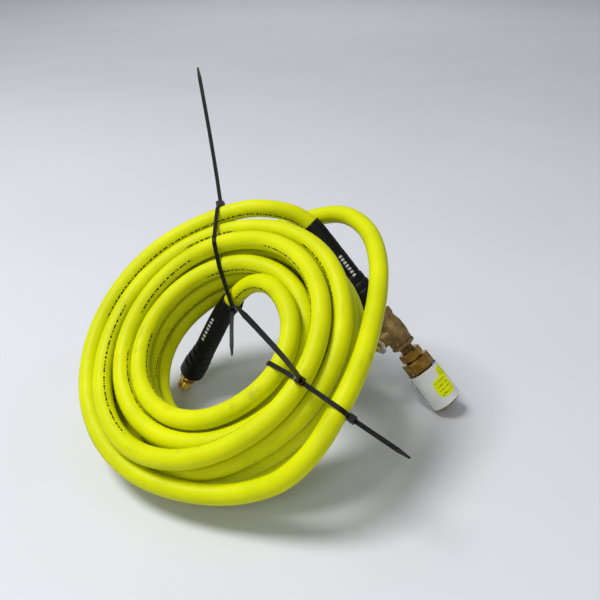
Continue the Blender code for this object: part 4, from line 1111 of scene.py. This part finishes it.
def sheet(outlines, thick, matrix):
    """A flat plate with rounded edges: the first outline bounds it and the others are holes."""
    curve = bpy.data.curves.new("sheet", "CURVE")
    curve.dimensions = "2D"
    curve.fill_mode = "BOTH"
    curve.extrude = thick / 2 - SHEET_EDGE
    curve.bevel_depth = SHEET_EDGE
    curve.bevel_resolution = 2
    curve.offset = -SHEET_EDGE
    for outline in outlines:
        spline = curve.splines.new("POLY")
        spline.points.add(len(outline) - 1)
        spline.use_cyclic_u = True
        for point, (x, y) in zip(spline.points, outline):
            point.co = (x, y, 0.0, 1.0)
    holder = bpy.data.objects.new("sheet", curve)
    bpy.context.scene.collection.objects.link(holder)
    bpy.context.view_layer.update()
    seen = holder.evaluated_get(bpy.context.evaluated_depsgraph_get())
    knit = bmesh.new()
    knit.from_mesh(seen.to_mesh())
    bmesh.ops.remove_doubles(knit, verts=knit.verts, dist=SAME_SPOT)
    bmesh.ops.recalc_face_normals(knit, faces=knit.faces)
    knit.verts.index_update()
    points = array(vert.co for vert in knit.verts)
    corners = [tuple(vert.index for vert in face.verts) for face in knit.faces]
    knit.free()
    seen.to_mesh_clear()
    bpy.data.objects.remove(holder)
    bpy.data.curves.remove(curve)
    return placed((points, corners), matrix)


def arc(x, y, radius, start, stop, steps):
    """Points on a part of a circle, from one angle to another."""
    angles = [math.radians(start + (stop - start) * i / steps) for i in range(steps + 1)]
    return [(x + radius * math.cos(angle), y + radius * math.sin(angle)) for angle in angles]


print("sheet metal with edges of", 1000 * SHEET_EDGE, "mm")

# %% [markdown]
# ## Lever's outline
# The eye's circle is open where the handle joins it, and the outline runs on round the handle's end. The
# folds stand square to the plate along both edges, with their own corners rounded. All of it rides on the
# handle's body.

# %% Lever
LEVER_AT = 0.0205           # the plate's underside, up the stem
LEVER_THICK = 0.0016
LEVER_LONG = 0.046
LEVER_HALF = 0.006
LEVER_EYE_R = 0.009
EYE_OPEN = 52               # degrees from the handle's middle to where the eye's circle starts
SLOT_R = 0.003
SLOT_ENDS = (0.0190, 0.0270)
FOLD_START = 0.0140
FOLD_R = 0.0034
FOLD_CENTRE = 0.0016        # height of its corners' centres

eye = arc(0, 0, LEVER_EYE_R, EYE_OPEN, 360 - EYE_OPEN, 40)
handle = arc(LEVER_LONG, 0, LEVER_HALF, -90, 90, 20)
eye_hole = arc(0, 0, STEM_HOLE_R, 0, 354, 59)
slot_hole = arc(SLOT_ENDS[0], 0, SLOT_R, 90, 270, 14) + arc(SLOT_ENDS[1], 0, SLOT_R, -90, 90, 14)
plate_at = STEM @ Matrix.Translation((0, 0, LEVER_AT + LEVER_THICK / 2))
lever_shapes = [sheet([eye + handle, eye_hole, slot_hole], LEVER_THICK, plate_at)]
fold = [(FOLD_START, 0.0), (LEVER_LONG, 0.0)]
fold += arc(LEVER_LONG - FOLD_R, FOLD_CENTRE, FOLD_R, 0, 90, 8)
fold += arc(FOLD_START + FOLD_R, FOLD_CENTRE, FOLD_R, 90, 180, 8)
for edge in (-1, 1):
    fold_at = Matrix.Translation((0, edge * (LEVER_HALF - LEVER_THICK / 2), LEVER_AT))
    lever_shapes.append(sheet([fold], LEVER_THICK, STEM @ fold_at @ Matrix.Rotation(math.pi / 2, 4, "X")))
piece("lever", lever_shapes, plated_steel, "valve_handle", "valve_lever", sharp=30.0)

# %% [markdown]
# ## Bushing
# A reducing bushing joins the valve's narrow thread to the wider thread of the quick coupler. It is
# turned from hexagon bar like the fittings, so it is put together from the same shapes instead of being
# cut from a cylinder, and it has the film of old brass.

# %% Bushing
BUSHING_HEX = 0.0190        # width across flats
BUSHING_HEX_ENDS = (0.0558, 0.0640)
BUSHING_BORE_R = 0.0045
BUSHING_NECK_R = 0.0080
BUSHING_NECK_ENDS = (0.0600, 0.0645)
BUSHING_PIPE_R = 0.0084
BUSHING_THREAD_ENDS = (0.0643, 0.0758)
bushing_shapes = [
    hexagon(BUSHING_HEX, VALVE_BORE_R, *BUSHING_HEX_ENDS),
    collar(BUSHING_BORE_R, BUSHING_NECK_R, *BUSHING_NECK_ENDS),
    thread(BUSHING_PIPE_R, BUSHING_BORE_R, *BUSHING_THREAD_ENDS),
]
bushing = piece("bushing", bushing_shapes, tarnished_brass, "hose", "reducing_bushing", at=OUTER,
                bevel=0.00018)

# %% [markdown]
# ## Coupler and ferrules
# The quick coupler's body, sleeve and poppet and the crimped ferrules already have the right shapes in
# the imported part. Its meshes aren't changed, but a bevel modifier rounds their edges, so that they catch
# the light.

# %% Coupler and ferrules
EDGE_WIDTH = 0.0004
for name in ("coupler_body", "coupler_sleeve", "check_poppet", *FERRULES):
    edges = nodes[name].modifiers.new("edges", "BEVEL")
    edges.width = EDGE_WIDTH
    edges.segments = 3
    edges.angle_limit = math.radians(35.0)
    edges.harden_normals = True
    print("rounded the edges of", name)

# %% [markdown]
# ## Springs
# One spring pushes the coupler's sleeve forward and another shuts its check poppet. Each is a wire wound
# round the coupler's axis, swept as the hose is, and gets a mesh of its own.

# %% Springs
SPRING_WIRE_R = 0.0006
WIRE_SIDES = 10
CURL_STEPS = 36


def spring(name, kind, mean_r, fixed_at, free_at, curls):
    """fixed_at and free_at are distances from the hose's end face."""
    turn = 2 * np.pi * np.arange(curls * CURL_STEPS + 1) / CURL_STEPS
    heights = np.linspace(fixed_at + SPRING_WIRE_R, free_at - SPRING_WIRE_R, len(turn))
    helix = np.stack([mean_r * np.cos(turn), mean_r * np.sin(turn), heights], axis=1)
    wire = swept(helix, SPRING_WIRE_R, WIRE_SIDES)
    made = piece(name, [wire], plated_steel, "hose", kind + "_spring", at=OUTER, sharp=60.0)
    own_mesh(made)


spring("sleeve_coil", "sleeve", mean_r=0.0110, fixed_at=0.0764, free_at=0.0944, curls=5)
spring("poppet_coil", "poppet", mean_r=0.00555, fixed_at=0.0761, free_at=0.0853, curls=4)

# %% [markdown]
# ## Label
# A strip of white paper is wrapped once round the coupler's sleeve, and its free end stands off as a
# flap. Cloth could be wrapped by simulation, but paper this stiff only rolls up: each cut across the
# strip is placed along the wrap. Paper is never quite round, so it ripples by a tenth of a millimetre,
# and its edge waves a little.

# %% Paper label
LABEL_R = 0.01475
LABEL_START = 0.0777
LABEL_LONG = 0.0370
LABEL_FLAP = 0.0070
WRAP_DEGREES = 350.0
LABEL_RUN = LABEL_FLAP + math.radians(WRAP_DEGREES) * LABEL_R
FLAP_DEGREES = 55.0
PAPER_THICK = 0.00035
LABEL_STEPS = 120
LABEL_ROWS = 18
RIPPLE, RIPPLES, RIPPLE_SLANT = 0.00012, 4.5, 2.0
EDGE_WAVE, EDGE_WAVES = 0.0002, 160.0
NUDGE = 1e-4


def wrap_spot(run):
    """Place of the paper round the sleeve at a distance from the start of its flap."""
    if run < LABEL_FLAP:
        return LABEL_R, run - LABEL_FLAP
    angle = (run - LABEL_FLAP) / LABEL_R
    return LABEL_R * math.cos(angle), LABEL_R * math.sin(angle)


label_cuts = []
for i in range(LABEL_STEPS + 1):
    run = LABEL_RUN * i / LABEL_STEPS
    x, y = wrap_spot(run)
    ahead, behind = wrap_spot(min(run + NUDGE, LABEL_RUN)), wrap_spot(max(run - NUDGE, 0.0))
    normal = Vector((ahead[1] - behind[1], behind[0] - ahead[0])).normalized()
    front, back = [], []
    for share in (j / LABEL_ROWS for j in range(LABEL_ROWS + 1)):
        wave = math.sin(RIPPLES * run / LABEL_R + RIPPLE_SLANT * share)
        ripple = RIPPLE * wave * math.sin(math.pi * share)
        height = LABEL_START + LABEL_LONG * share + EDGE_WAVE * math.sin(EDGE_WAVES * run)
        for face, level in ((front, ripple + PAPER_THICK / 2), (back, ripple - PAPER_THICK / 2)):
            face.append((x + normal.x * level, y + normal.y * level, height))
    label_cuts.append(front + back[::-1])
label_at = OUTER @ Matrix.Rotation(math.radians(FLAP_DEGREES), 4, "Z")
piece("paper_label", [loft(label_cuts, flip=True)], white_paper, "release_sleeve", "coupler_label",
      at=label_at, sharp=50.0)

# %% [markdown]
# ## Sticker finish
# Two bright yellow stickers sit on the label, with rows of small ink spots. A picture could be laid on
# each, but needs a file, so the spots come from noise that is cut into rows and kept inside a margin on
# the sticker's own map, which runs from -1 to 1 both ways.

# %% Sticker finish
SPOT_MARGINS = (0.70, 0.76)
SPOT_ROW = 0.42
SPOT_ROW_HALF = 0.22        # half a row's height, as a share of its pitch


def ink_rows(tree, yellow):
    over, up = mapped(tree, "sticker_map")
    in_width = sums(tree, "COMPARE", over, 0.0, SPOT_MARGINS[0])
    in_height = sums(tree, "COMPARE", up, 0.0, SPOT_MARGINS[1])
    in_pitch = sums(tree, "FRACT", sums(tree, "DIVIDE", up, SPOT_ROW))
    in_row = sums(tree, "COMPARE", in_pitch, 0.5, SPOT_ROW_HALF)
    ink = span(tree, noise(tree, 8.0, 2.0, 0.5, flat_map(tree, over, up)), 0.50, 0.54, 0.0, 0.85)
    return mix(tree, both(tree, in_width, in_height, in_row, ink), yellow, INK)


sticker_yellow = mottled(
    "sticker_yellow", (140.0, 4.0), [(0.3, (0.78, 0.86, 0.0)), (0.7, (0.86, 0.93, 0.002))], rough=0.45,
    grain=((1100.0, 3.0), 0.00008, 0.2), cover=ink_rows, Specular_IOR_Level=0.15)

# %% [markdown]
# ## Stickers
# A sticker is a thin patch with round corners that follows the label. A shrinkwrap modifier could lay a
# plate on it, but the label is a cylinder, so bending the patch is one line. Its rings run out over the
# top, round the edge and back underneath, so it is a closed body.

# %% Stickers
STICKER_LIFT = 0.00045
STICKER_DOME = 0.00012      # its middle stands this far above its edge
STICKER_RINGS = 8
STICKER_SIDES = 48
CORNER_POWER = 2 / 3.4      # under one, it pushes a circle out towards a square
STICKER_DEGREES = -89.0
SMALL_TURNED = 26.0         # degrees from the large sticker to the small one
SMALL_UNDER = 0.0001        # the small one lies this much lower


def sticker(name, middle_degrees, middle_height, half_round, half_along, lift):
    top = [(i, STICKER_DOME if i < STICKER_RINGS else 0.0) for i in range(1, STICKER_RINGS + 1)]
    under = [(i, 0.0) for i in range(STICKER_RINGS, 0, -1)]
    rings, flat = [], []
    for i, dome in top + under:
        ring = []
        for k in range(STICKER_SIDES):
            angle = 2 * math.pi * k / STICKER_SIDES
            x, y = [math.copysign(abs(v) ** CORNER_POWER, v) * i / STICKER_RINGS
                    for v in (math.cos(angle), math.sin(angle))]
            radius = LABEL_R + lift + dome
            turn = math.radians(middle_degrees) + x * half_round / LABEL_R
            ring.append((radius * math.cos(turn), radius * math.sin(turn), middle_height + y * half_along))
            flat.append((x, y))
        rings.append(ring)
    made = piece(name, [loft(rings, flip=True)], sticker_yellow, "release_sleeve", at=OUTER, sharp=50.0)
    sticker_map = made.data.uv_layers.new(name="sticker_map")
    for loop in made.data.loops:
        sticker_map.data[loop.index].uv = flat[loop.vertex_index]


sticker("large_sticker", STICKER_DEGREES, middle_height=0.0985, half_round=0.0092, half_along=0.0095,
        lift=STICKER_LIFT)
sticker("small_sticker", STICKER_DEGREES - SMALL_TURNED, middle_height=0.0872, half_round=0.0052,
        half_along=0.0062, lift=STICKER_LIFT - SMALL_UNDER)

# %% [markdown]
# ## Where the ties lie
# Two bindings hold the coil, each of two cable ties threaded through each other's heads. A pulled tie
# lies on the tight line round the turns that it holds. That line could be drawn by eye; here the hose is
# cut by the binding's plane, and for each direction the cut that reaches farthest gives the next place of
# the line.

# %% Tie lines
TIE_WIDE = 0.0036
TIE_THICK = 0.0011
TIE_CLEAR = 0.0004
GIRDLE_STEP = 0.002
GIRDLE_DEGREES = 3


def crossings(line, degrees):
    """Radius, place along the axis and reach of each cut of the hose at an angle round the coil."""
    turn = math.radians(degrees)
    places = []
    for point in line:
        rel = Vector(point) - COIL_CENTRE
        x, y = rel.dot(across), rel.dot(uphill)
        places.append(Vector((x * math.cos(turn) + y * math.sin(turn), rel.dot(coil_axis),
                              y * math.cos(turn) - x * math.sin(turn))))
    found = []
    for a, b in zip(places, places[1:]):
        if a.z * b.z <= 0 and a.z != b.z and a.x > 0 and b.x > 0:
            spot = a + (b - a) * (a.z / (a.z - b.z))
            square = abs(b.z - a.z) / (b - a).length
            slant = math.sqrt(1 - square ** 2) / square
            found.append((spot.x, spot.y, HOSE_R / square + slant * TIE_WIDE / 2))
    return found


def girdle(cuts, distance):
    """A taut closed line round a set of hose cuts, at a distance from their surfaces."""
    line = []
    for k in range(0, 360, GIRDLE_DEGREES):
        toward = Vector((math.cos(math.radians(k)), math.sin(math.radians(k))))
        best = max(cuts, key=lambda cut: cut[0] * toward.x + cut[1] * toward.y + cut[2])
        line.append(Vector(best[:2]) + (best[2] + distance) * toward)
    fine = []
    for a, b in zip(line, line[1:] + line[:1]):
        count = max(1, math.ceil((b - a).length / GIRDLE_STEP))
        fine += [a + (b - a) * i / count for i in range(count)]
    return fine


tie_cuts = {where: crossings(hose_line, degrees) for where, degrees in TIE_DEGREES.items()}
tie_lines = {where: girdle(cuts, TIE_CLEAR + TIE_THICK / 2) for where, cuts in tie_cuts.items()}
for where, cuts in tie_cuts.items():
    print(where, "binding round", len(cuts), "hose cuts")

# %% [markdown]
# ## A strap's path
# A strap starts in its own head, follows the tight line to the other tie's head, turns up through that
# head's slot and runs on as a loose tail. The turn is a quarter circle, and the tail is one soft bend to
# its tip. A curve drawn by eye could do this, but points worked out from the tight line stay right when
# the turns move.

# %% Strap path
TIE_BEND_R = 0.0014
TIE_FOOT = 0.0006
HEAD_LONG = 0.0064
HEAD_CLEAR = 0.0015         # the strap leaves the line this close to its own head
BEND_CLEAR = 0.0005         # and this close to the turn into the other
BEND_STEPS = 8
TAIL_STEPS = 40


def line_way(line, i):
    """A point of a closed line in a plane, the way along it there, and the way out from it."""
    along = (line[(i + 1) % len(line)] - line[i - 1]).normalized()
    return line[i], along, Vector((along.y, -along.x))


def strap_path(line, start, stop, tip):
    here, along, _ = line_way(line, start)
    there, arriving, leaving = line_way(line, stop)
    path = [here + along * TIE_FOOT]
    bend_start = there - arriving * (TIE_BEND_R + TIE_THICK / 2)
    i = (start + 1) % len(line)
    while i != stop:
        spot = line[i]
        past_head = (spot - here).dot(along) > HEAD_CLEAR or (spot - here).length > HEAD_LONG
        before_bend = (spot - bend_start).dot(arriving) < -BEND_CLEAR or (spot - there).length > HEAD_LONG
        if past_head and before_bend:
            path.append(spot)
        i = (i + 1) % len(line)
    centre = bend_start + leaving * TIE_BEND_R
    for k in range(BEND_STEPS + 1):
        angle = math.pi / 2 * k / BEND_STEPS
        path.append(centre + TIE_BEND_R * (arriving * math.sin(angle) - leaving * math.cos(angle)))
    out = path[-1]
    pull = out + leaving * (Vector(tip) - out).length / 3
    for t in (k / TAIL_STEPS for k in range(1, TAIL_STEPS + 1)):
        path.append((1 - t) ** 2 * out + 2 * t * (1 - t) * pull + t ** 2 * Vector(tip))
    return path


print("a strap turns up on a radius of", 1000 * TIE_BEND_R, "mm")

# %% [markdown]
# ## A strap
# A tie's strap is flat, smooth outside, with a band of fine teeth inside between two rails, and narrows
# at its tip. An array modifier on a curve could repeat the teeth, but they also have to stop before the
# tip. So one cut through the strap is moved along its path, and its toothed band is cut back at two of
# every four steps.

# %% Strap
TOOTH_PITCH = 0.0013
TOOTH_STEPS = 4             # steps along the path in a pitch
TOOTH_DEEP = 0.00028
TIP_LONG = 0.0100
TIP_SHARE = 0.45            # width at the tip over the strap's width
EDGE_DROP = 0.0003
OUTER_FACE = TIE_THICK / 2
RAIL = -TIE_THICK / 2
STRAP_CUT = [               # share of half the width, height; None is the toothed band
    (-1.0, RAIL), (-1.0, OUTER_FACE - EDGE_DROP), (-0.86, OUTER_FACE), (0.86, OUTER_FACE),
    (1.0, OUTER_FACE - EDGE_DROP), (1.0, RAIL), (0.62, RAIL), (0.58, None), (-0.58, None), (-0.62, RAIL),
]


def strap(path):
    flat = even([(p.x, p.y, 0.0) for p in path], TOOTH_PITCH / TOOTH_STEPS)
    count = len(flat)
    left = run_along(flat)[-1] * (1 - np.arange(count) / (count - 1))
    ways = np.gradient(flat, axis=0)
    ways /= np.linalg.norm(ways, axis=1)[:, None]
    lift = np.stack([ways[:, 1], -ways[:, 0], np.zeros(count)], axis=1)
    half = TIE_WIDE / 2 * (TIP_SHARE + (1 - TIP_SHARE) * np.clip(left / TIP_LONG, 0.0, 1.0))
    between_teeth = np.arange(count) % TOOTH_STEPS < TOOTH_STEPS / 2
    tooth = np.where(between_teeth & (left > TIP_LONG), TOOTH_DEEP, 0.0)
    lines = []
    for side, level in STRAP_CUT:
        level = RAIL + tooth if level is None else np.full(count, level)
        spot = flat + level[:, None] * lift
        spot[:, 2] = side * half
        lines.append(spot)
    return loft(np.stack(lines, axis=1), flip=True)


print("strap cut of", len(STRAP_CUT), "points, a tooth every", 1000 * TOOTH_PITCH, "mm")

# %% [markdown]
# ## A head
# A tie's head is a small block with a slot, through which the other tie's tail comes up. A boolean could
# cut the slot; four walls round it make the same block with clean faces.

# %% Tie head
HEAD_WIDE = 0.0060
HEAD_HIGH = 0.0044
SLOT_ROOM = 0.0004          # the slot is this much wider than a strap on each side
SLOT_FRONT, SLOT_BACK = 0.0003, -0.0020     # the slot's ends along the strap
SIDE_FRONT, SIDE_BACK = 0.0006, -0.0022     # the side walls reach into the end walls
CROWN = TIE_THICK / 2 + HEAD_HIGH
SEAT = TIE_THICK / 2 + GAP
HEAD_WALLS = [              # lowest and highest corners: along the strap, up, across
    ((SLOT_FRONT, RAIL, -HEAD_WIDE / 2), (HEAD_LONG / 2, CROWN, HEAD_WIDE / 2)),
    ((-HEAD_LONG / 2, SEAT, -HEAD_WIDE / 2), (SLOT_BACK, CROWN, HEAD_WIDE / 2)),
    ((SIDE_BACK, SEAT, -HEAD_WIDE / 2), (SIDE_FRONT, CROWN, -TIE_WIDE / 2 - SLOT_ROOM)),
    ((SIDE_BACK, SEAT, TIE_WIDE / 2 + SLOT_ROOM), (SIDE_FRONT, CROWN, HEAD_WIDE / 2)),
]
BLOCK_FACES = [(0, 1, 3, 2), (4, 6, 7, 5), (0, 4, 5, 1), (2, 3, 7, 6), (0, 2, 6, 4), (1, 5, 7, 3)]


def head(line, start):
    here, along, outward = line_way(line, start)
    turn = Matrix(((along.x, outward.x, 0.0), (along.y, outward.y, 0.0), (0.0, 0.0, -1.0))).to_4x4()
    turn.translation = (here.x, here.y, 0.0)
    walls = []
    for low, high in HEAD_WALLS:
        corners = list(itertools.product(*zip(low, high)))
        walls.append(placed((corners, BLOCK_FACES), turn))
    return walls


print("head of", len(HEAD_WALLS), "walls")

# %% [markdown]
# ## Cable ties
# The places of the heads and of the tails' tips are fitted to the photograph, in coil pitches from the
# coil's outer layer and along its axis. Each head could be set by hand; here it goes to the nearest place
# on its tight line, and the two ties of a binding run from head to head, so that together they go once
# round.

# %% Cable ties
TIE_HEADS = {"top": ((2.226, 1.607), (-4.321, -0.238)), "side": ((-0.155, 2.262), (2.405, 0.536))}
TIE_TIPS = {"top": ((9.607, 4.762), (-6.762, -0.357)), "side": ((0.321, 8.929), (4.726, -0.238))}


def in_plane(spot):
    """Distance from the coil's axis and place along it, from pitches."""
    return Vector((COIL_OUTER_R + spot[0] * COIL_PITCH, spot[1] * COIL_PITCH))


for where, degrees in TIE_DEGREES.items():
    line = tie_lines[where]
    out_way = round_coil(degrees, 1.0, 0.0)
    plane = Matrix((out_way, coil_axis, out_way.cross(coil_axis))).transposed().to_4x4()
    plane.translation = COIL_CENTRE
    heads = [min(range(len(line)), key=lambda i: (line[i] - in_plane(spot)).length)
             for spot in TIE_HEADS[where]]
    for k in (0, 1):
        path = strap_path(line, heads[k], heads[1 - k], in_plane(TIE_TIPS[where][1 - k]))
        shapes = [strap(path), *head(line, heads[k])]
        piece("%s_strap_%d" % (where, k + 1), shapes, black_nylon, "hose", "%s_tie_%d" % (where, k + 1),
              at=plane, sharp=40.0)

# %% [markdown]
# ## The hose as a cord
# The hose is soft, and pieces hang on it. It is taken as a common 25 foot hose. The turns inside the
# bundle can't be counted in a photograph, and the line built here comes out within a few percent of that
# length.

# %% [markdown]
# ## Floor
# The part stands on a plain pale floor. A backdrop that curves up would stand in the way of the views
# from behind, so the floor is flat and reaches forty metres each way. It lies a hair under the part, so
# that the two don't share a plane.

# %% Floor
FLOOR_HALF = 40.0
FLOOR_AT = -0.0002
pale_floor = mottled(
    "pale_floor", (3.0, 4.0), [(0.3, (0.63, 0.645, 0.675)), (0.7, (0.66, 0.675, 0.705))], rough=0.6)
floor_corners = [(x * FLOOR_HALF, y * FLOOR_HALF, FLOOR_AT)
                 for x, y in ((-1, -1), (1, -1), (1, 1), (-1, 1))]
floor_mesh = bpy.data.meshes.new("floor")
floor_mesh.from_pydata(floor_corners, [], [(0, 1, 2, 3)])
floor_mesh.materials.append(pale_floor)
floor = bpy.data.objects.new("floor", floor_mesh)
bpy.context.scene.collection.objects.link(floor)
print("floor", 2 * FLOOR_HALF, "m wide")

# %% [markdown]
# ## Light
# A large key light high on the left gives the soft shadow to the right, and a weak fill from the front
# puts glints on the brass. Four more lights look away from the part and keep the far floor pale on every
# side. An even pale world lifts the shadows; a picture of a room could do that too, but would be a file.

# %% Lights
TARGET = (0, 0, 0.05)
FAR_LIGHT, FAR_HIGH, FAR_TARGET = 3.2, 2.5, 5.1


def soft_light(name, place, target, size, watts):
    data = bpy.data.lights.new(name, "AREA")
    data.shape = "DISK"
    data.size = size
    data.energy = watts
    light = bpy.data.objects.new(name, data)
    light.location = place
    light.rotation_euler = (Vector(target) - Vector(place)).to_track_quat("-Z", "Y").to_euler()
    bpy.context.scene.collection.objects.link(light)
    print("light", name, watts, "W")


soft_light("key", (-1.2, -0.1, 2.4), TARGET, size=1.0, watts=62.0)
soft_light("fill", (-0.25, -1.35, 1.25), TARGET, size=0.45, watts=4.5)
for side_name, x, y in (("back", 0, 1), ("left", -1, 0), ("front", 0, -1), ("right", 1, 0)):
    place = (FAR_LIGHT * x, FAR_LIGHT * y, FAR_HIGH)
    target = (FAR_TARGET * x, FAR_TARGET * y, 0.0)
    soft_light("floor_" + side_name, place, target, size=2.0, watts=30.0)
world = bpy.data.worlds.new("studio")
bpy.context.scene.world = world
world.use_nodes = True
sky = world.node_tree.nodes["Background"]
sky.inputs["Color"].default_value = (0.93, 0.95, 1.0, 1.0)
sky.inputs["Strength"].default_value = 0.32
